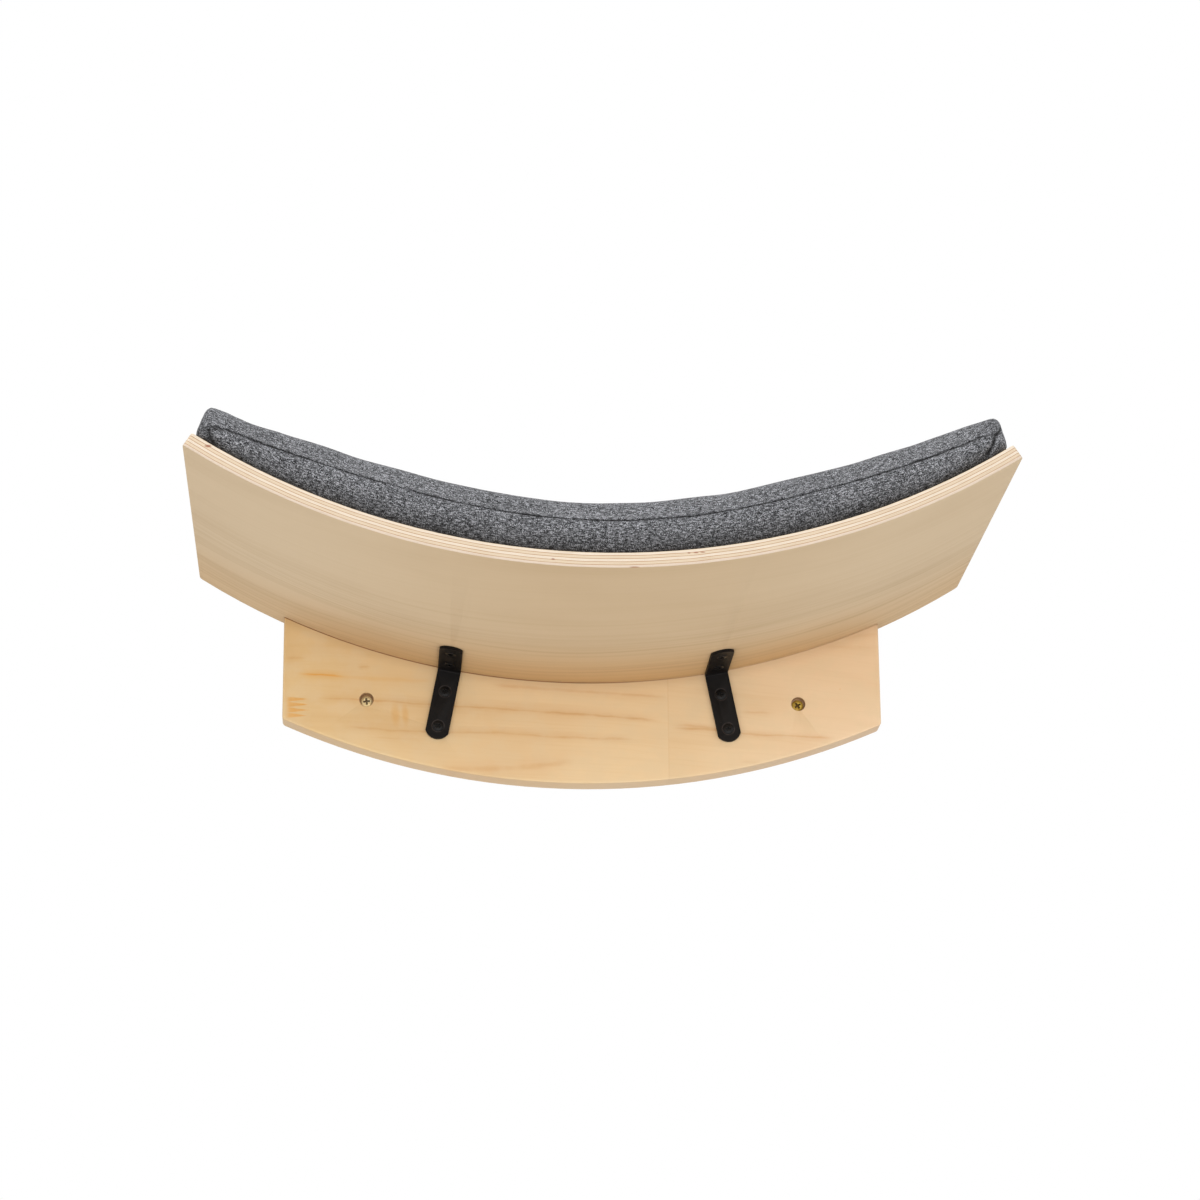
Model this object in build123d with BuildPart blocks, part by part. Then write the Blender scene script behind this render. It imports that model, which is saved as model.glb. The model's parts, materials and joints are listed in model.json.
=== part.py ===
from build123d import *
import os
from math import asin, cos, degrees, pi, radians, sin, sqrt

# Wall-mounted cat bed: a bent plywood board on a pine wall plate, held by two steel corner
# brackets, with a loose curved cushion. Lengths are millimetres, angles are degrees.
# X runs along the wall, Y points into the wall and Z is up. The origin lies on the wall,
# midway between the two wall screws. Angles round the bend start straight down and grow
# towards +X.

# Bent board
board_span = 500.0
board_depth = 250.0
board_thickness = 9.5
underside_radius = 464.0
board_corner_radius = 2.5
board_edge_easing = 0.6

# Wall plate
plate_width = 388.0
plate_thickness = 15.0
plate_drop = 67.5
plate_bottom_radius = 476.0
plate_corner_radius = 3.0
plate_edge_radius = 1.5
joint_gap = 0.05

# Wall screws, in counterbores in the plate
wall_screw_end_inset = 54.0
wall_screw_drop = 13.0
wall_screw_length = 45.0
wall_screw_shank_radius = 2.0
wall_screw_neck_radius = 1.5
wall_screw_head_radius = 3.5
wall_screw_point = 5.0
wall_screw_recess_span = 4.0
wall_screw_recess_width = 0.9
wall_screw_recess_depth = 1.4
counterbore_radius = 4.6
counterbore_depth = 4.5

# Corner brackets
bracket_offset = 86.5
bracket_width = 15.0
bracket_shelf_leg = 50.0
bracket_wall_leg = 48.0
bracket_thickness = 2.0
bracket_tip_radius = 8.3
bracket_inner_bend = 0.8
bracket_first_hole = 16.0
bracket_hole_pitch = 23.5
bracket_seat_gap = 0.02

# Bracket screws
bracket_screw_shank_radius = 1.5
bracket_screw_head_radius = 3.4
bracket_screw_point = 3.0
bracket_screw_recess_span = 3.4
bracket_screw_recess_width = 0.8
bracket_screw_recess_depth = 1.0
plate_screw_length = 12.0
shelf_screw_length = 8.0

# What every screw shares
screw_rim = 0.3
screw_hole_clearance = 0.15
screw_seat_clearance = 0.1
pilot_clearance = 0.05
pilot_extra_depth = 0.5

# Cushion, sewn from a top panel, a boxing band and a bottom panel
seat_clearance = 0.3
cushion_end_inset = 3.6
cushion_side_inset = 5.0
fabric_thickness = 1.2
foam_clearance = 0.3
seam_height = 23.8
shoulder_rise = 15.2
shoulder_width = 13.9
crown_rise = 4.6
side_bulge = 1.5
drawn_in = 2.5
end_rounding = 3.0
end_lean_share = 0.56
seam_tuck = 0.8
bottom_panel_lip = 0.6

# The cushion's cross sections from its middle to one end. Each row holds shares of the half
# length, the seam's height, the shoulder's rise, the crown's rise, the drawn-in depth and the
# end rounding.
section_shares = (
    (0.00, 0.937, 0.985, 1.00, 1.00, 0.00),
    (0.25, 0.971, 1.000, 1.00, 1.00, 0.00),
    (0.48, 1.000, 1.000, 0.95, 1.00, 0.00),
    (0.68, 0.924, 1.000, 0.85, 1.00, 0.00),
    (0.82, 0.807, 0.975, 0.70, 1.00, 0.00),
    (0.91, 0.710, 0.880, 0.50, 0.60, 0.00),
    (0.955, 0.660, 0.780, 0.35, 0.30, 0.00),
    (0.98, 0.639, 0.690, 0.20, 0.12, 0.00),
    (0.992, 0.630, 0.540, 0.10, 0.05, 0.25),
    (1.00, 0.622, 0.260, 0.05, 0.00, 1.00),
)

# Hook strips on the board and loop strips under the cushion
strip_angle = 20.0
strip_width = 25.0
strip_length = 150.0
strip_thickness = 1.0
strip_gap = 0.3
strip_seat_gap = 0.3
strip_side_clearance = 1.5

# Zipper in the boxing at the wall side
zip_height = 10.0
zip_end_inset = 64.6
zip_slot_half_height = 4.0
zip_recess = 0.2
zip_tape_thickness = 0.8
zip_tape_clearance = 0.05
zip_coil_half_height = 2.2
zip_coil_clearance = 0.15
zip_coil_thickness = 1.6
zip_slit_half_height = 0.4
zip_stop_length = 2.4
zip_stop_extra = 0.2
zip_foam_clearance = 0.5

# Zipper slider and pull tab
slider_half_length = 4.5
slider_half_height = 3.2
slider_wing_thickness = 1.0
slider_clearance = 0.3
slider_web_half_height = 0.2
slider_web_half_length = 3.0
slider_end_margin = 0.5
bail_bar_radius = 0.5
bail_bar_height = 1.15
bail_post_thickness = 0.8
bail_post_half_length = 0.8
bail_post_extra = 0.1
pull_width = 3.0
pull_side_clearance = 0.15
pull_eye_radius = 0.9
pull_pin_clearance = 0.05
pull_thickness = 0.8
pull_length = 18.0
pull_neck_length = 2.5
pull_blade_width = 4.6
pull_hole_radius = 1.0

# Named overrun of cutting tools
overrun = 1.0

# Places that follow from the sizes above
sides = {"left": -1, "right": 1}
wall_screw_spacing = plate_width - 2 * wall_screw_end_inset
bend_height = wall_screw_drop + underside_radius
top_radius = underside_radius - board_thickness
half_angle = degrees(asin(board_span / 2 / underside_radius))
bracket_angle = degrees(asin(bracket_offset / underside_radius))
cushion_radius = top_radius - seat_clearance
cushion_half_arc = radians(half_angle) * top_radius - cushion_end_inset
zip_radius = cushion_radius - zip_height
strip_half_angle = degrees(strip_width / 2 / top_radius)
strip_middle = board_depth / 2


def along_bend(length, radius):
    """Angle that an arc of this length covers at this radius."""
    return degrees(length / radius)


def on_bend(radius, angle):
    """X and Z of the point at this radius and angle round the bend."""
    return (radius * sin(radians(angle)), bend_height - radius * cos(radians(angle)))


zip_half_angle = along_bend(cushion_half_arc - zip_end_inset, top_radius)


def bent_bar(outer_radius, inner_radius, start_angle, end_angle, near, far):
    """A bar bent about the board's axis, between two distances from the wall."""
    with BuildPart() as bar:
        with BuildSketch(Plane.XZ.offset(near)):
            with BuildLine():
                sweep_angle = end_angle - start_angle
                outer = CenterArc((0, bend_height), outer_radius, start_angle - 90, sweep_angle)
                inner = CenterArc((0, bend_height), inner_radius, start_angle - 90, sweep_angle)
                Line(outer @ 0, inner @ 0)
                Line(outer @ 1, inner @ 1)
            make_face()
        extrude(amount=far - near)
    return bar.part


def keep(piece, name):
    """Label a finished piece and write its STEP file."""
    piece.label = name
    export_step(piece, f"parts/{name}.step")


# Brackets and their screws


def bracket_corner(side):
    """Plane at a bracket's outer corner: x along the bend, y away from the wall, z down its leg."""
    angle = radians(side * bracket_angle)
    x, z = on_bend(underside_radius + bracket_seat_gap, side * bracket_angle)
    return Plane(
        origin=(x, -plate_thickness, z),
        x_dir=(cos(angle), 0, sin(angle)),
        z_dir=(sin(angle), 0, -cos(angle)),
    )


def leg_planes(side):
    """Sketch planes of the shelf leg and the wall leg, each with y running to the leg's tip."""
    corner = bracket_corner(side)
    shelf_leg = corner
    wall_leg = Plane(origin=corner.origin, x_dir=-corner.x_dir, z_dir=corner.y_dir)
    return {"shelf": shelf_leg, "plate": wall_leg}


def screw_seats(side, leg):
    """Planes on a leg's outer face at its two holes, facing away from the wood."""
    face = leg_planes(side)[leg].offset(bracket_thickness)
    reaches = (bracket_first_hole, bracket_first_hole + bracket_hole_pitch)
    return [Plane(origin=face.from_local_coords((0, reach, 0)), x_dir=face.x_dir, z_dir=face.z_dir)
            for reach in reaches]


def make_bracket(side, name):
    half_width = bracket_width / 2
    tip_rise = bracket_tip_radius - sqrt(bracket_tip_radius ** 2 - half_width ** 2)
    corner = bracket_corner(side)
    with BuildPart() as bracket:
        for leg, leg_plane in leg_planes(side).items():
            reach = leg_lengths[leg]
            shoulder = reach - tip_rise
            with BuildSketch(leg_plane):
                with BuildLine():
                    Polyline((-half_width, shoulder), (-half_width, 0), (half_width, 0), (half_width, shoulder))
                    ThreePointArc((-half_width, shoulder), (0, reach), (half_width, shoulder))
                make_face()
            extrude(amount=bracket_thickness)
        bend_edges = bracket.edges().filter_by(Axis(corner.origin, corner.x_dir))
        outer_edge, inner_edge = bend_edges.sort_by_distance(corner.origin)
        fillet(inner_edge, bracket_inner_bend)
        outer_edge = bracket.edges().filter_by(Axis(corner.origin, corner.x_dir)).sort_by_distance(corner.origin)[0]
        fillet(outer_edge, bracket_inner_bend + bracket_thickness)
        for leg in leg_planes(side):
            with Locations(*screw_seats(side, leg)):
                CounterSinkHole(
                    radius=bracket_screw_shank_radius + screw_hole_clearance,
                    counter_sink_radius=bracket_screw_head_radius + screw_seat_clearance,
                    depth=bracket_thickness + overrun,
                    counter_sink_angle=90,
                )
    keep(bracket.part, name)


def make_screw(seat, length, shaft, head_radius, point, recess, name):
    """A countersunk cross-head screw whose head's cone starts at the seat plane."""
    recess_span, recess_width, recess_depth = recess
    neck_radius = shaft[0][0]
    shank_radius = shaft[-1][0]
    with BuildPart() as screw:
        with BuildSketch(Plane(origin=seat.origin, x_dir=seat.x_dir, z_dir=-seat.y_dir)):
            with BuildLine():
                Polyline(
                    (0, screw_rim),
                    (head_radius, screw_rim),
                    (head_radius, 0),
                    (neck_radius, neck_radius - head_radius),
                    *shaft[1:],
                    (shank_radius, point - length),
                    (0, -length),
                    close=True,
                )
            make_face()
        revolve(axis=Axis(seat.origin, seat.z_dir))
        with BuildSketch(seat.offset(screw_rim)):
            Rectangle(recess_span, recess_width)
            Rectangle(recess_width, recess_span)
        extrude(amount=-recess_depth, mode=Mode.SUBTRACT)
    keep(screw.part, name)


def cut_pilot_holes(leg, length):
    """Cut the holes of one pair of legs' screws from the piece that is being built."""
    for side in sides.values():
        for seat in screw_seats(side, leg):
            with BuildSketch(seat) as pilot:
                Circle(bracket_screw_shank_radius + pilot_clearance)
            extrude(pilot.sketch, amount=-(length + pilot_extra_depth), mode=Mode.SUBTRACT)


# Board

with BuildPart() as shelf_board:
    add(bent_bar(underside_radius, top_radius, -half_angle, half_angle, 0, board_depth))
    end_lines = shelf_board.edges().filter_by(GeomType.LINE).filter_by(Axis.Y, reverse=True)
    fillet(end_lines, board_corner_radius)
    broad_faces = shelf_board.faces().sort_by(SortBy.AREA)[-2:]
    fillet(broad_faces.edges(), board_edge_easing)
    cut_pilot_holes("shelf", shelf_screw_length)
keep(shelf_board.part, "shelf_board")

# Wall plate: its blank reaches above the board and the board's bend is cut from it

plate_low = wall_screw_drop - plate_drop
plate_bottom_centre = plate_low + plate_bottom_radius
plate_side_low = plate_bottom_centre - sqrt(plate_bottom_radius ** 2 - (plate_width / 2) ** 2)
counterbore_floor = plate_thickness - counterbore_depth
wall_screw_seats = {
    name: Plane(origin=(side * wall_screw_spacing / 2, -counterbore_floor, 0), x_dir=(1, 0, 0), z_dir=(0, -1, 0))
    for name, side in sides.items()
}

with BuildPart() as wall_plate:
    with BuildSketch(Plane.XZ):
        with BuildLine():
            ThreePointArc((-plate_width / 2, plate_side_low), (0, plate_low), (plate_width / 2, plate_side_low))
            Polyline(
                (plate_width / 2, plate_side_low),
                (plate_width / 2, bend_height),
                (-plate_width / 2, bend_height),
                (-plate_width / 2, plate_side_low),
            )
        make_face()
    extrude(amount=plate_thickness)
    fillet(wall_plate.edges().filter_by(Axis.Y).group_by(Axis.Z)[0], plate_corner_radius)
    fillet(wall_plate.faces().sort_by(Axis.Y)[0].edges(), plate_edge_radius)
    with BuildSketch(Plane.XZ):
        with Locations((0, bend_height)):
            Circle(underside_radius + joint_gap)
    extrude(amount=plate_thickness, mode=Mode.SUBTRACT)
    for seat in wall_screw_seats.values():
        with Locations(seat.offset(counterbore_depth)):
            CounterBoreHole(
                radius=wall_screw_shank_radius + screw_hole_clearance,
                counter_bore_radius=counterbore_radius,
                counter_bore_depth=counterbore_depth,
                depth=plate_thickness + overrun,
            )
        with Locations(seat):
            CounterSinkHole(
                radius=wall_screw_shank_radius + screw_hole_clearance,
                counter_sink_radius=wall_screw_head_radius + screw_seat_clearance,
                depth=counterbore_floor + overrun,
                counter_sink_angle=90,
            )
    cut_pilot_holes("plate", plate_screw_length)
keep(wall_plate.part, "wall_plate")

# Brackets and screws

leg_lengths = {"shelf": bracket_shelf_leg, "plate": bracket_wall_leg}
screw_lengths = {"shelf": shelf_screw_length, "plate": plate_screw_length}
screw_places = {"shelf": ("rear", "front"), "plate": ("upper", "lower")}
bracket_recess = (bracket_screw_recess_span, bracket_screw_recess_width, bracket_screw_recess_depth)
bracket_shaft = [(bracket_screw_shank_radius, 0)]
wall_recess = (wall_screw_recess_span, wall_screw_recess_width, wall_screw_recess_depth)

# A wall screw is thinner up to the plate's back and threaded beyond it
wall_shaft = [
    (wall_screw_neck_radius, 0),
    (wall_screw_neck_radius, -counterbore_floor),
    (wall_screw_shank_radius, -counterbore_floor),
]

for side_name, side in sides.items():
    make_bracket(side, f"{side_name}_bracket")
    for leg, places in screw_places.items():
        for place, seat in zip(places, screw_seats(side, leg)):
            make_screw(
                seat, screw_lengths[leg], bracket_shaft, bracket_screw_head_radius,
                bracket_screw_point, bracket_recess, f"{side_name}_{leg}_screw_{place}",
            )
    make_screw(
        wall_screw_seats[side_name], wall_screw_length, wall_shaft, wall_screw_head_radius,
        wall_screw_point, wall_recess, f"{side_name}_wall_screw",
    )

# Cushion. Its sections stand on the board, square to it in the middle and leaning less at the
# ends, where the soft filling lets the end faces stand nearly upright.


all_sections = [(-row[0],) + row[1:] for row in reversed(section_shares[1:])] + list(section_shares)


def section_place(half_length_share, inset):
    """Foot point of a section on the cushion's underside, and the direction it stands in."""
    angle = half_length_share * along_bend(cushion_half_arc - inset, top_radius)
    lean = angle * (1 - end_lean_share * half_length_share ** 4)
    foot = on_bend(cushion_radius, angle)
    return foot, (-sin(radians(lean)), cos(radians(lean)))


def arc_over(start, end, sagitta):
    """Arc between two points that stands off their chord by the sagitta, to its left side."""
    middle = (Vector(*start) + Vector(*end)) * 0.5
    chord = Vector(*end) - Vector(*start)
    off = Vector(-chord.Y, chord.X).normalized() * sagitta
    return ThreePointArc(start, middle + off, end)


def cushion_block(inset):
    """The cushion's whole form, drawn in everywhere by the inset."""
    with BuildPart() as block:
        for length_share, seam_share, rise_share, crown_share, draw_share, round_share in all_sections:
            foot, up = section_place(length_share, inset)
            seam = seam_share * seam_height
            rounding = round_share * end_rounding
            side_line = cushion_side_inset + draw_share * drawn_in + inset + rounding
            front, back = side_line - board_depth, -side_line
            low = inset + rounding
            rise = rise_share * shoulder_rise - inset
            width = rise * shoulder_width / shoulder_rise
            high = seam + rise
            crown = high + crown_share * crown_rise
            quarter = sin(radians(45))
            slice_plane = Plane(origin=(foot[0], 0, foot[1]), x_dir=(0, 1, 0), z_dir=(up[1], 0, -up[0]))
            with BuildSketch(slice_plane):
                with BuildLine():
                    Line((back, low), (front, low))
                    arc_over((front, low), (front, seam), side_bulge)
                    ThreePointArc(
                        (front, seam),
                        (front + width * (1 - quarter), seam + rise * quarter),
                        (front + width, high),
                    )
                    ThreePointArc((front + width, high), ((front + back) / 2, crown), (back - width, high))
                    ThreePointArc(
                        (back - width, high),
                        (back - width * (1 - quarter), seam + rise * quarter),
                        (back, seam),
                    )
                    arc_over((back, seam), (back, low), side_bulge)
                make_face()
        loft()
    return block.part


def close_upwards(low_edge):
    """Close a front-view edge with lines that reach up to the bend's axis."""
    start, end = low_edge @ 0, low_edge @ 1
    Polyline(
        start,
        (start.X - overrun, start.Y),
        (start.X - overrun, bend_height),
        (end.X + overrun, bend_height),
        (end.X + overrun, end.Y),
        end,
    )


with BuildPart() as above_seam:
    with BuildSketch(Plane.XZ):
        with BuildLine():
            seam_points = []
            for length_share, seam_share, *other_shares in all_sections:
                foot, up = section_place(length_share, 0)
                reach = seam_share * seam_height - seam_tuck
                seam_points.append((foot[0] + reach * up[0], foot[1] + reach * up[1]))
            close_upwards(Spline(*seam_points))
        make_face()
    extrude(amount=board_depth)

with BuildPart() as above_bottom_panel:
    with BuildSketch(Plane.XZ):
        with BuildLine():
            lip_radius = cushion_radius - fabric_thickness - bottom_panel_lip
            close_upwards(CenterArc((0, bend_height), lip_radius, -90 - half_angle, 2 * half_angle))
        make_face()
    extrude(amount=board_depth)

with BuildPart() as cover:
    add(cushion_block(0))
    add(cushion_block(fabric_thickness), mode=Mode.SUBTRACT)

with BuildPart() as cushion_top_panel:
    add(cover.part)
    add(above_seam.part, mode=Mode.INTERSECT)
keep(cushion_top_panel.part, "cushion_top_panel")

# Zipper places, as distances from the wall

zip_tape_face = cushion_side_inset + drawn_in - side_bulge + zip_recess
zip_tape_back = zip_tape_face + zip_tape_thickness
zip_coil_face = (zip_tape_face + zip_tape_back - zip_coil_thickness) / 2
zip_coil_back = zip_coil_face + zip_coil_thickness
zip_chain_half_angle = zip_half_angle - along_bend(zip_stop_length, zip_radius)
slider_half_angle = along_bend(slider_half_length, zip_radius)
slider_inner_face = zip_coil_back + slider_clearance
slider_inner_back = slider_inner_face + slider_wing_thickness
slider_outer_back = zip_coil_face - slider_clearance
slider_outer_face = slider_outer_back - slider_wing_thickness
slider_park_angle = -(zip_chain_half_angle - slider_half_angle - along_bend(slider_end_margin, zip_radius))

with BuildPart() as cushion_boxing:
    add(cover.part)
    add(above_seam.part, mode=Mode.SUBTRACT)
    add(above_bottom_panel.part, mode=Mode.INTERSECT)
    add(
        bent_bar(
            zip_radius + zip_slot_half_height, zip_radius - zip_slot_half_height,
            -zip_half_angle, zip_half_angle, 0, slider_inner_back + zip_foam_clearance,
        ),
        mode=Mode.SUBTRACT,
    )
keep(cushion_boxing.part, "cushion_boxing")

# Pockets in the cushion's underside take the hook and loop strips. The bottom panel runs
# round each pocket.

hook_outer_radius = top_radius - strip_seat_gap
hook_inner_radius = hook_outer_radius - strip_thickness
loop_outer_radius = hook_inner_radius - strip_gap
loop_inner_radius = loop_outer_radius - strip_thickness
pocket_roof_radius = loop_inner_radius - strip_seat_gap


def strip_pocket(side, wall, floor_radius):
    """Space for one pair of strips, grown by a wall thickness all round."""
    half = strip_half_angle + along_bend(strip_side_clearance + wall, top_radius)
    reach = strip_length / 2 + strip_side_clearance + wall
    return bent_bar(
        floor_radius, pocket_roof_radius - wall,
        side * strip_angle - half, side * strip_angle + half,
        strip_middle - reach, strip_middle + reach,
    )


with BuildPart() as cushion_bottom_panel:
    add(cover.part)
    add(above_bottom_panel.part, mode=Mode.SUBTRACT)
    for side in sides.values():
        add(strip_pocket(side, fabric_thickness, cushion_radius - fabric_thickness / 2))
        add(strip_pocket(side, 0, cushion_radius + overrun), mode=Mode.SUBTRACT)
keep(cushion_bottom_panel.part, "cushion_bottom_panel")

with BuildPart() as foam_core:
    add(cushion_block(fabric_thickness + foam_clearance))
    for side in sides.values():
        add(strip_pocket(side, fabric_thickness + foam_clearance, cushion_radius), mode=Mode.SUBTRACT)
    groove_half_height = slider_half_height + zip_foam_clearance
    add(
        bent_bar(
            zip_radius + groove_half_height, zip_radius - groove_half_height,
            -zip_half_angle, zip_half_angle, 0, slider_inner_back + zip_foam_clearance,
        ),
        mode=Mode.SUBTRACT,
    )
keep(foam_core.part, "foam_core")

for side_name, side in sides.items():
    strip_start = side * strip_angle - strip_half_angle
    strip_end = side * strip_angle + strip_half_angle
    strip_near = strip_middle - strip_length / 2
    strip_far = strip_middle + strip_length / 2
    with BuildPart() as hook_strip:
        add(bent_bar(hook_outer_radius, hook_inner_radius, strip_start, strip_end, strip_near, strip_far))
    keep(hook_strip.part, f"{side_name}_hook_strip")
    with BuildPart() as loop_strip:
        add(bent_bar(loop_outer_radius, loop_inner_radius, strip_start, strip_end, strip_near, strip_far))
    keep(loop_strip.part, f"{side_name}_loop_strip")

# Zipper tapes and coils, above and below the slit that the slider's web runs in

for half_name, direction in {"lower": 1, "upper": -1}.items():
    slot_edge = zip_radius + direction * (zip_slot_half_height - zip_tape_clearance)
    tape_edge = zip_radius + direction * zip_coil_half_height
    coil_edge = zip_radius + direction * (zip_coil_half_height - zip_coil_clearance)
    slit_edge = zip_radius + direction * zip_slit_half_height
    with BuildPart() as zip_tape:
        add(
            bent_bar(
                max(slot_edge, tape_edge), min(slot_edge, tape_edge),
                -zip_half_angle, zip_half_angle, zip_tape_face, zip_tape_back,
            )
        )
    keep(zip_tape.part, f"zip_tape_{half_name}")
    with BuildPart() as zip_coil:
        add(
            bent_bar(
                max(coil_edge, slit_edge), min(coil_edge, slit_edge),
                -zip_chain_half_angle, zip_chain_half_angle, zip_coil_face, zip_coil_back,
            )
        )
    keep(zip_coil.part, f"zip_coil_{half_name}")

with BuildPart() as zip_stops:
    for side in sides.values():
        stop_angles = sorted((side * zip_chain_half_angle, side * zip_half_angle))
        add(
            bent_bar(
                zip_radius + zip_coil_half_height, zip_radius - zip_coil_half_height,
                stop_angles[0], stop_angles[1],
                zip_coil_face - zip_stop_extra, zip_coil_back + zip_stop_extra,
            )
        )
keep(zip_stops.part, "zip_stops")

# Slider: an outer and an inner wing joined by a web, and a bail that carries the pull tab

park_x, park_z = on_bend(zip_radius, slider_park_angle)
slider_face = Plane(
    origin=(park_x, -slider_outer_face, park_z),
    x_dir=(cos(radians(slider_park_angle)), 0, sin(radians(slider_park_angle))),
    z_dir=(0, 1, 0),
)
bail_post_offset = pull_width / 2 + pull_side_clearance + bail_post_thickness / 2
bail_axis = Plane(
    origin=slider_face.from_local_coords((0, 0, bail_bar_height)),
    x_dir=slider_face.x_dir,
    z_dir=slider_face.y_dir,
)
web_half_angle = along_bend(slider_web_half_length, zip_radius)

with BuildPart() as zip_slider:
    for near, far in ((slider_outer_face, slider_outer_back), (slider_inner_face, slider_inner_back)):
        add(
            bent_bar(
                zip_radius + slider_half_height, zip_radius - slider_half_height,
                slider_park_angle - slider_half_angle, slider_park_angle + slider_half_angle, near, far,
            )
        )
    add(
        bent_bar(
            zip_radius + slider_web_half_height, zip_radius - slider_web_half_height,
            slider_park_angle - web_half_angle, slider_park_angle + web_half_angle,
            slider_outer_back, slider_inner_face,
        )
    )
    with BuildSketch(slider_face):
        with Locations((0, bail_post_offset), (0, -bail_post_offset)):
            Rectangle(2 * bail_post_half_length, bail_post_thickness)
    extrude(amount=bail_bar_height + bail_bar_radius + bail_post_extra)
    with BuildSketch(bail_axis):
        Circle(bail_bar_radius)
    extrude(amount=bail_post_offset, both=True)
keep(zip_slider.part, "zip_slider")

with BuildPart() as zip_pull:
    with BuildSketch(Plane(origin=bail_axis.origin, x_dir=slider_face.x_dir, z_dir=slider_face.z_dir)):
        with BuildLine():
            Polyline(
                (0, pull_width / 2),
                (pull_neck_length, pull_width / 2),
                (pull_neck_length + pull_width / 2, pull_blade_width / 2),
                (pull_length - pull_blade_width / 2, pull_blade_width / 2),
            )
            Polyline(
                (0, pull_width / 2),
                (0, -pull_width / 2),
                (pull_neck_length, -pull_width / 2),
                (pull_neck_length + pull_width / 2, -pull_blade_width / 2),
                (pull_length - pull_blade_width / 2, -pull_blade_width / 2),
            )
            ThreePointArc(
                (pull_length - pull_blade_width / 2, pull_blade_width / 2),
                (pull_length, 0),
                (pull_length - pull_blade_width / 2, -pull_blade_width / 2),
            )
        make_face()
        with Locations((pull_length - pull_blade_width / 2, 0)):
            Circle(pull_hole_radius, mode=Mode.SUBTRACT)
    extrude(amount=pull_thickness / 2, both=True)
    with BuildSketch(bail_axis):
        Circle(pull_eye_radius)
    extrude(amount=pull_width / 2, both=True)
    with BuildSketch(bail_axis):
        Circle(bail_bar_radius + pull_pin_clearance)
    extrude(amount=pull_width, both=True, mode=Mode.SUBTRACT)
keep(zip_pull.part, "zip_pull")
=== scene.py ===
import json
import math

import bmesh
import bpy
import numpy as np
from mathutils import Matrix, Vector

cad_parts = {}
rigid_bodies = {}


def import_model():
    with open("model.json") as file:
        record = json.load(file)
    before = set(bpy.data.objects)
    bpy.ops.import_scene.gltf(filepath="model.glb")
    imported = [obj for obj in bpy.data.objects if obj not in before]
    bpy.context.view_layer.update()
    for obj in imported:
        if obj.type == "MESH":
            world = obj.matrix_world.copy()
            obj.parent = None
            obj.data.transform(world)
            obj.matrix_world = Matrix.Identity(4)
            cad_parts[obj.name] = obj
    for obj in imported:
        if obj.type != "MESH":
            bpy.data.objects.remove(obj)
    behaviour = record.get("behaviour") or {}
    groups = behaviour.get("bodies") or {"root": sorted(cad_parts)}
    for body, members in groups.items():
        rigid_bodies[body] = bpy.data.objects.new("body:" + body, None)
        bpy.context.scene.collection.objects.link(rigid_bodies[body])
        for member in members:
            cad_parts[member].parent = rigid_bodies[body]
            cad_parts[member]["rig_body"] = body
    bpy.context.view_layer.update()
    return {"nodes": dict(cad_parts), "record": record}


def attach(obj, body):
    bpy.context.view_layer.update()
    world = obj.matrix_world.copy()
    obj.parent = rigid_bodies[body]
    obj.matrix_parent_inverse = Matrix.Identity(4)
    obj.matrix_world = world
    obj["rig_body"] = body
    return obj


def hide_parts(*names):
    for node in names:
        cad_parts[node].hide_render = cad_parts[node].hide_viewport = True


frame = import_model()
scene = bpy.context.scene
scene.view_settings.view_transform = "Standard"
print("frame loaded,", len(frame["nodes"]), "pieces in it")

mm = 0.001
bendHeight = 0.477  # axis of the bend above the wall screws
underRadius = 0.464  # the board's underside
topRadius = 0.4545  # the board's top
screwSide = 0.14  # each wall screw's distance from the middle


# Camera, light and floor

studio = {
    "eye": (-0.13755, -2.25156, -0.65727),
    "looksAlong": (0.06323274, 0.94914909, 0.30841146),
    "upwards": (-0.01200899, -0.30828387, 0.95121861),
    "lens": 108.156,
    "worldLight": 0.82,
    "floorHeight": -0.9,
    "floorHalfWidth": 30.0,
    "lamps": {  # place, size, power
        "topLamp": ((-0.9, -1.7, 2.9), 1.6, 55.0),
        "frontLamp": ((0.4, -3.0, 0.1), 1.6, 7.5),
        "rightLamp": ((2.2, -2.2, 0.9), 1.8, 6.7),
        "leftLamp": ((-2.2, -2.2, 0.9), 1.8, 4.6),
        "lowLamp": ((-0.2, -2.4, -0.6), 1.6, 1.8),
        "underLamp": ((0.0, -1.6, -0.85), 1.4, 3.0),
        "backLamp": ((0.6, 2.4, 1.6), 1.6, 10.0),
    },
}


def addObject(name, data):
    made = bpy.data.objects.new(name, data)
    scene.collection.objects.link(made)
    return made


def placeCamera():
    forward, up = Vector(studio["looksAlong"]), Vector(studio["upwards"])
    turn = Matrix((forward.cross(up), up, -forward)).transposed().to_4x4()
    data = bpy.data.cameras.new("photoCamera")
    data.lens = studio["lens"]
    data.sensor_width = 36.0
    data.clip_start = 0.05
    data.clip_end = 60.0
    scene.camera = addObject("photoCamera", data)
    scene.camera.matrix_world = Matrix.Translation(studio["eye"]) @ turn


def hangLamps():
    for name, (place, size, power) in studio["lamps"].items():
        data = bpy.data.lights.new(name, "AREA")
        data.shape = "DISK"
        data.size = size
        data.energy = power
        light = addObject(name, data)
        light.location = place
        light.rotation_euler = (-Vector(place)).to_track_quat("-Z", "Y").to_euler()


# Node helpers. A Signal stands for a node's output, and sums on it put in math nodes


class Signal:
    def __init__(self, socket):
        self.socket = socket
        self.tree = socket.id_data

    def __add__(self, other):
        return calc("ADD", self, other)

    def __sub__(self, other):
        return calc("SUBTRACT", self, other)

    def __rsub__(self, other):
        return calc("SUBTRACT", other, self)

    def __mul__(self, other):
        return calc("MULTIPLY", self, other)

    def __truediv__(self, other):
        return calc("DIVIDE", self, other)


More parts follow.
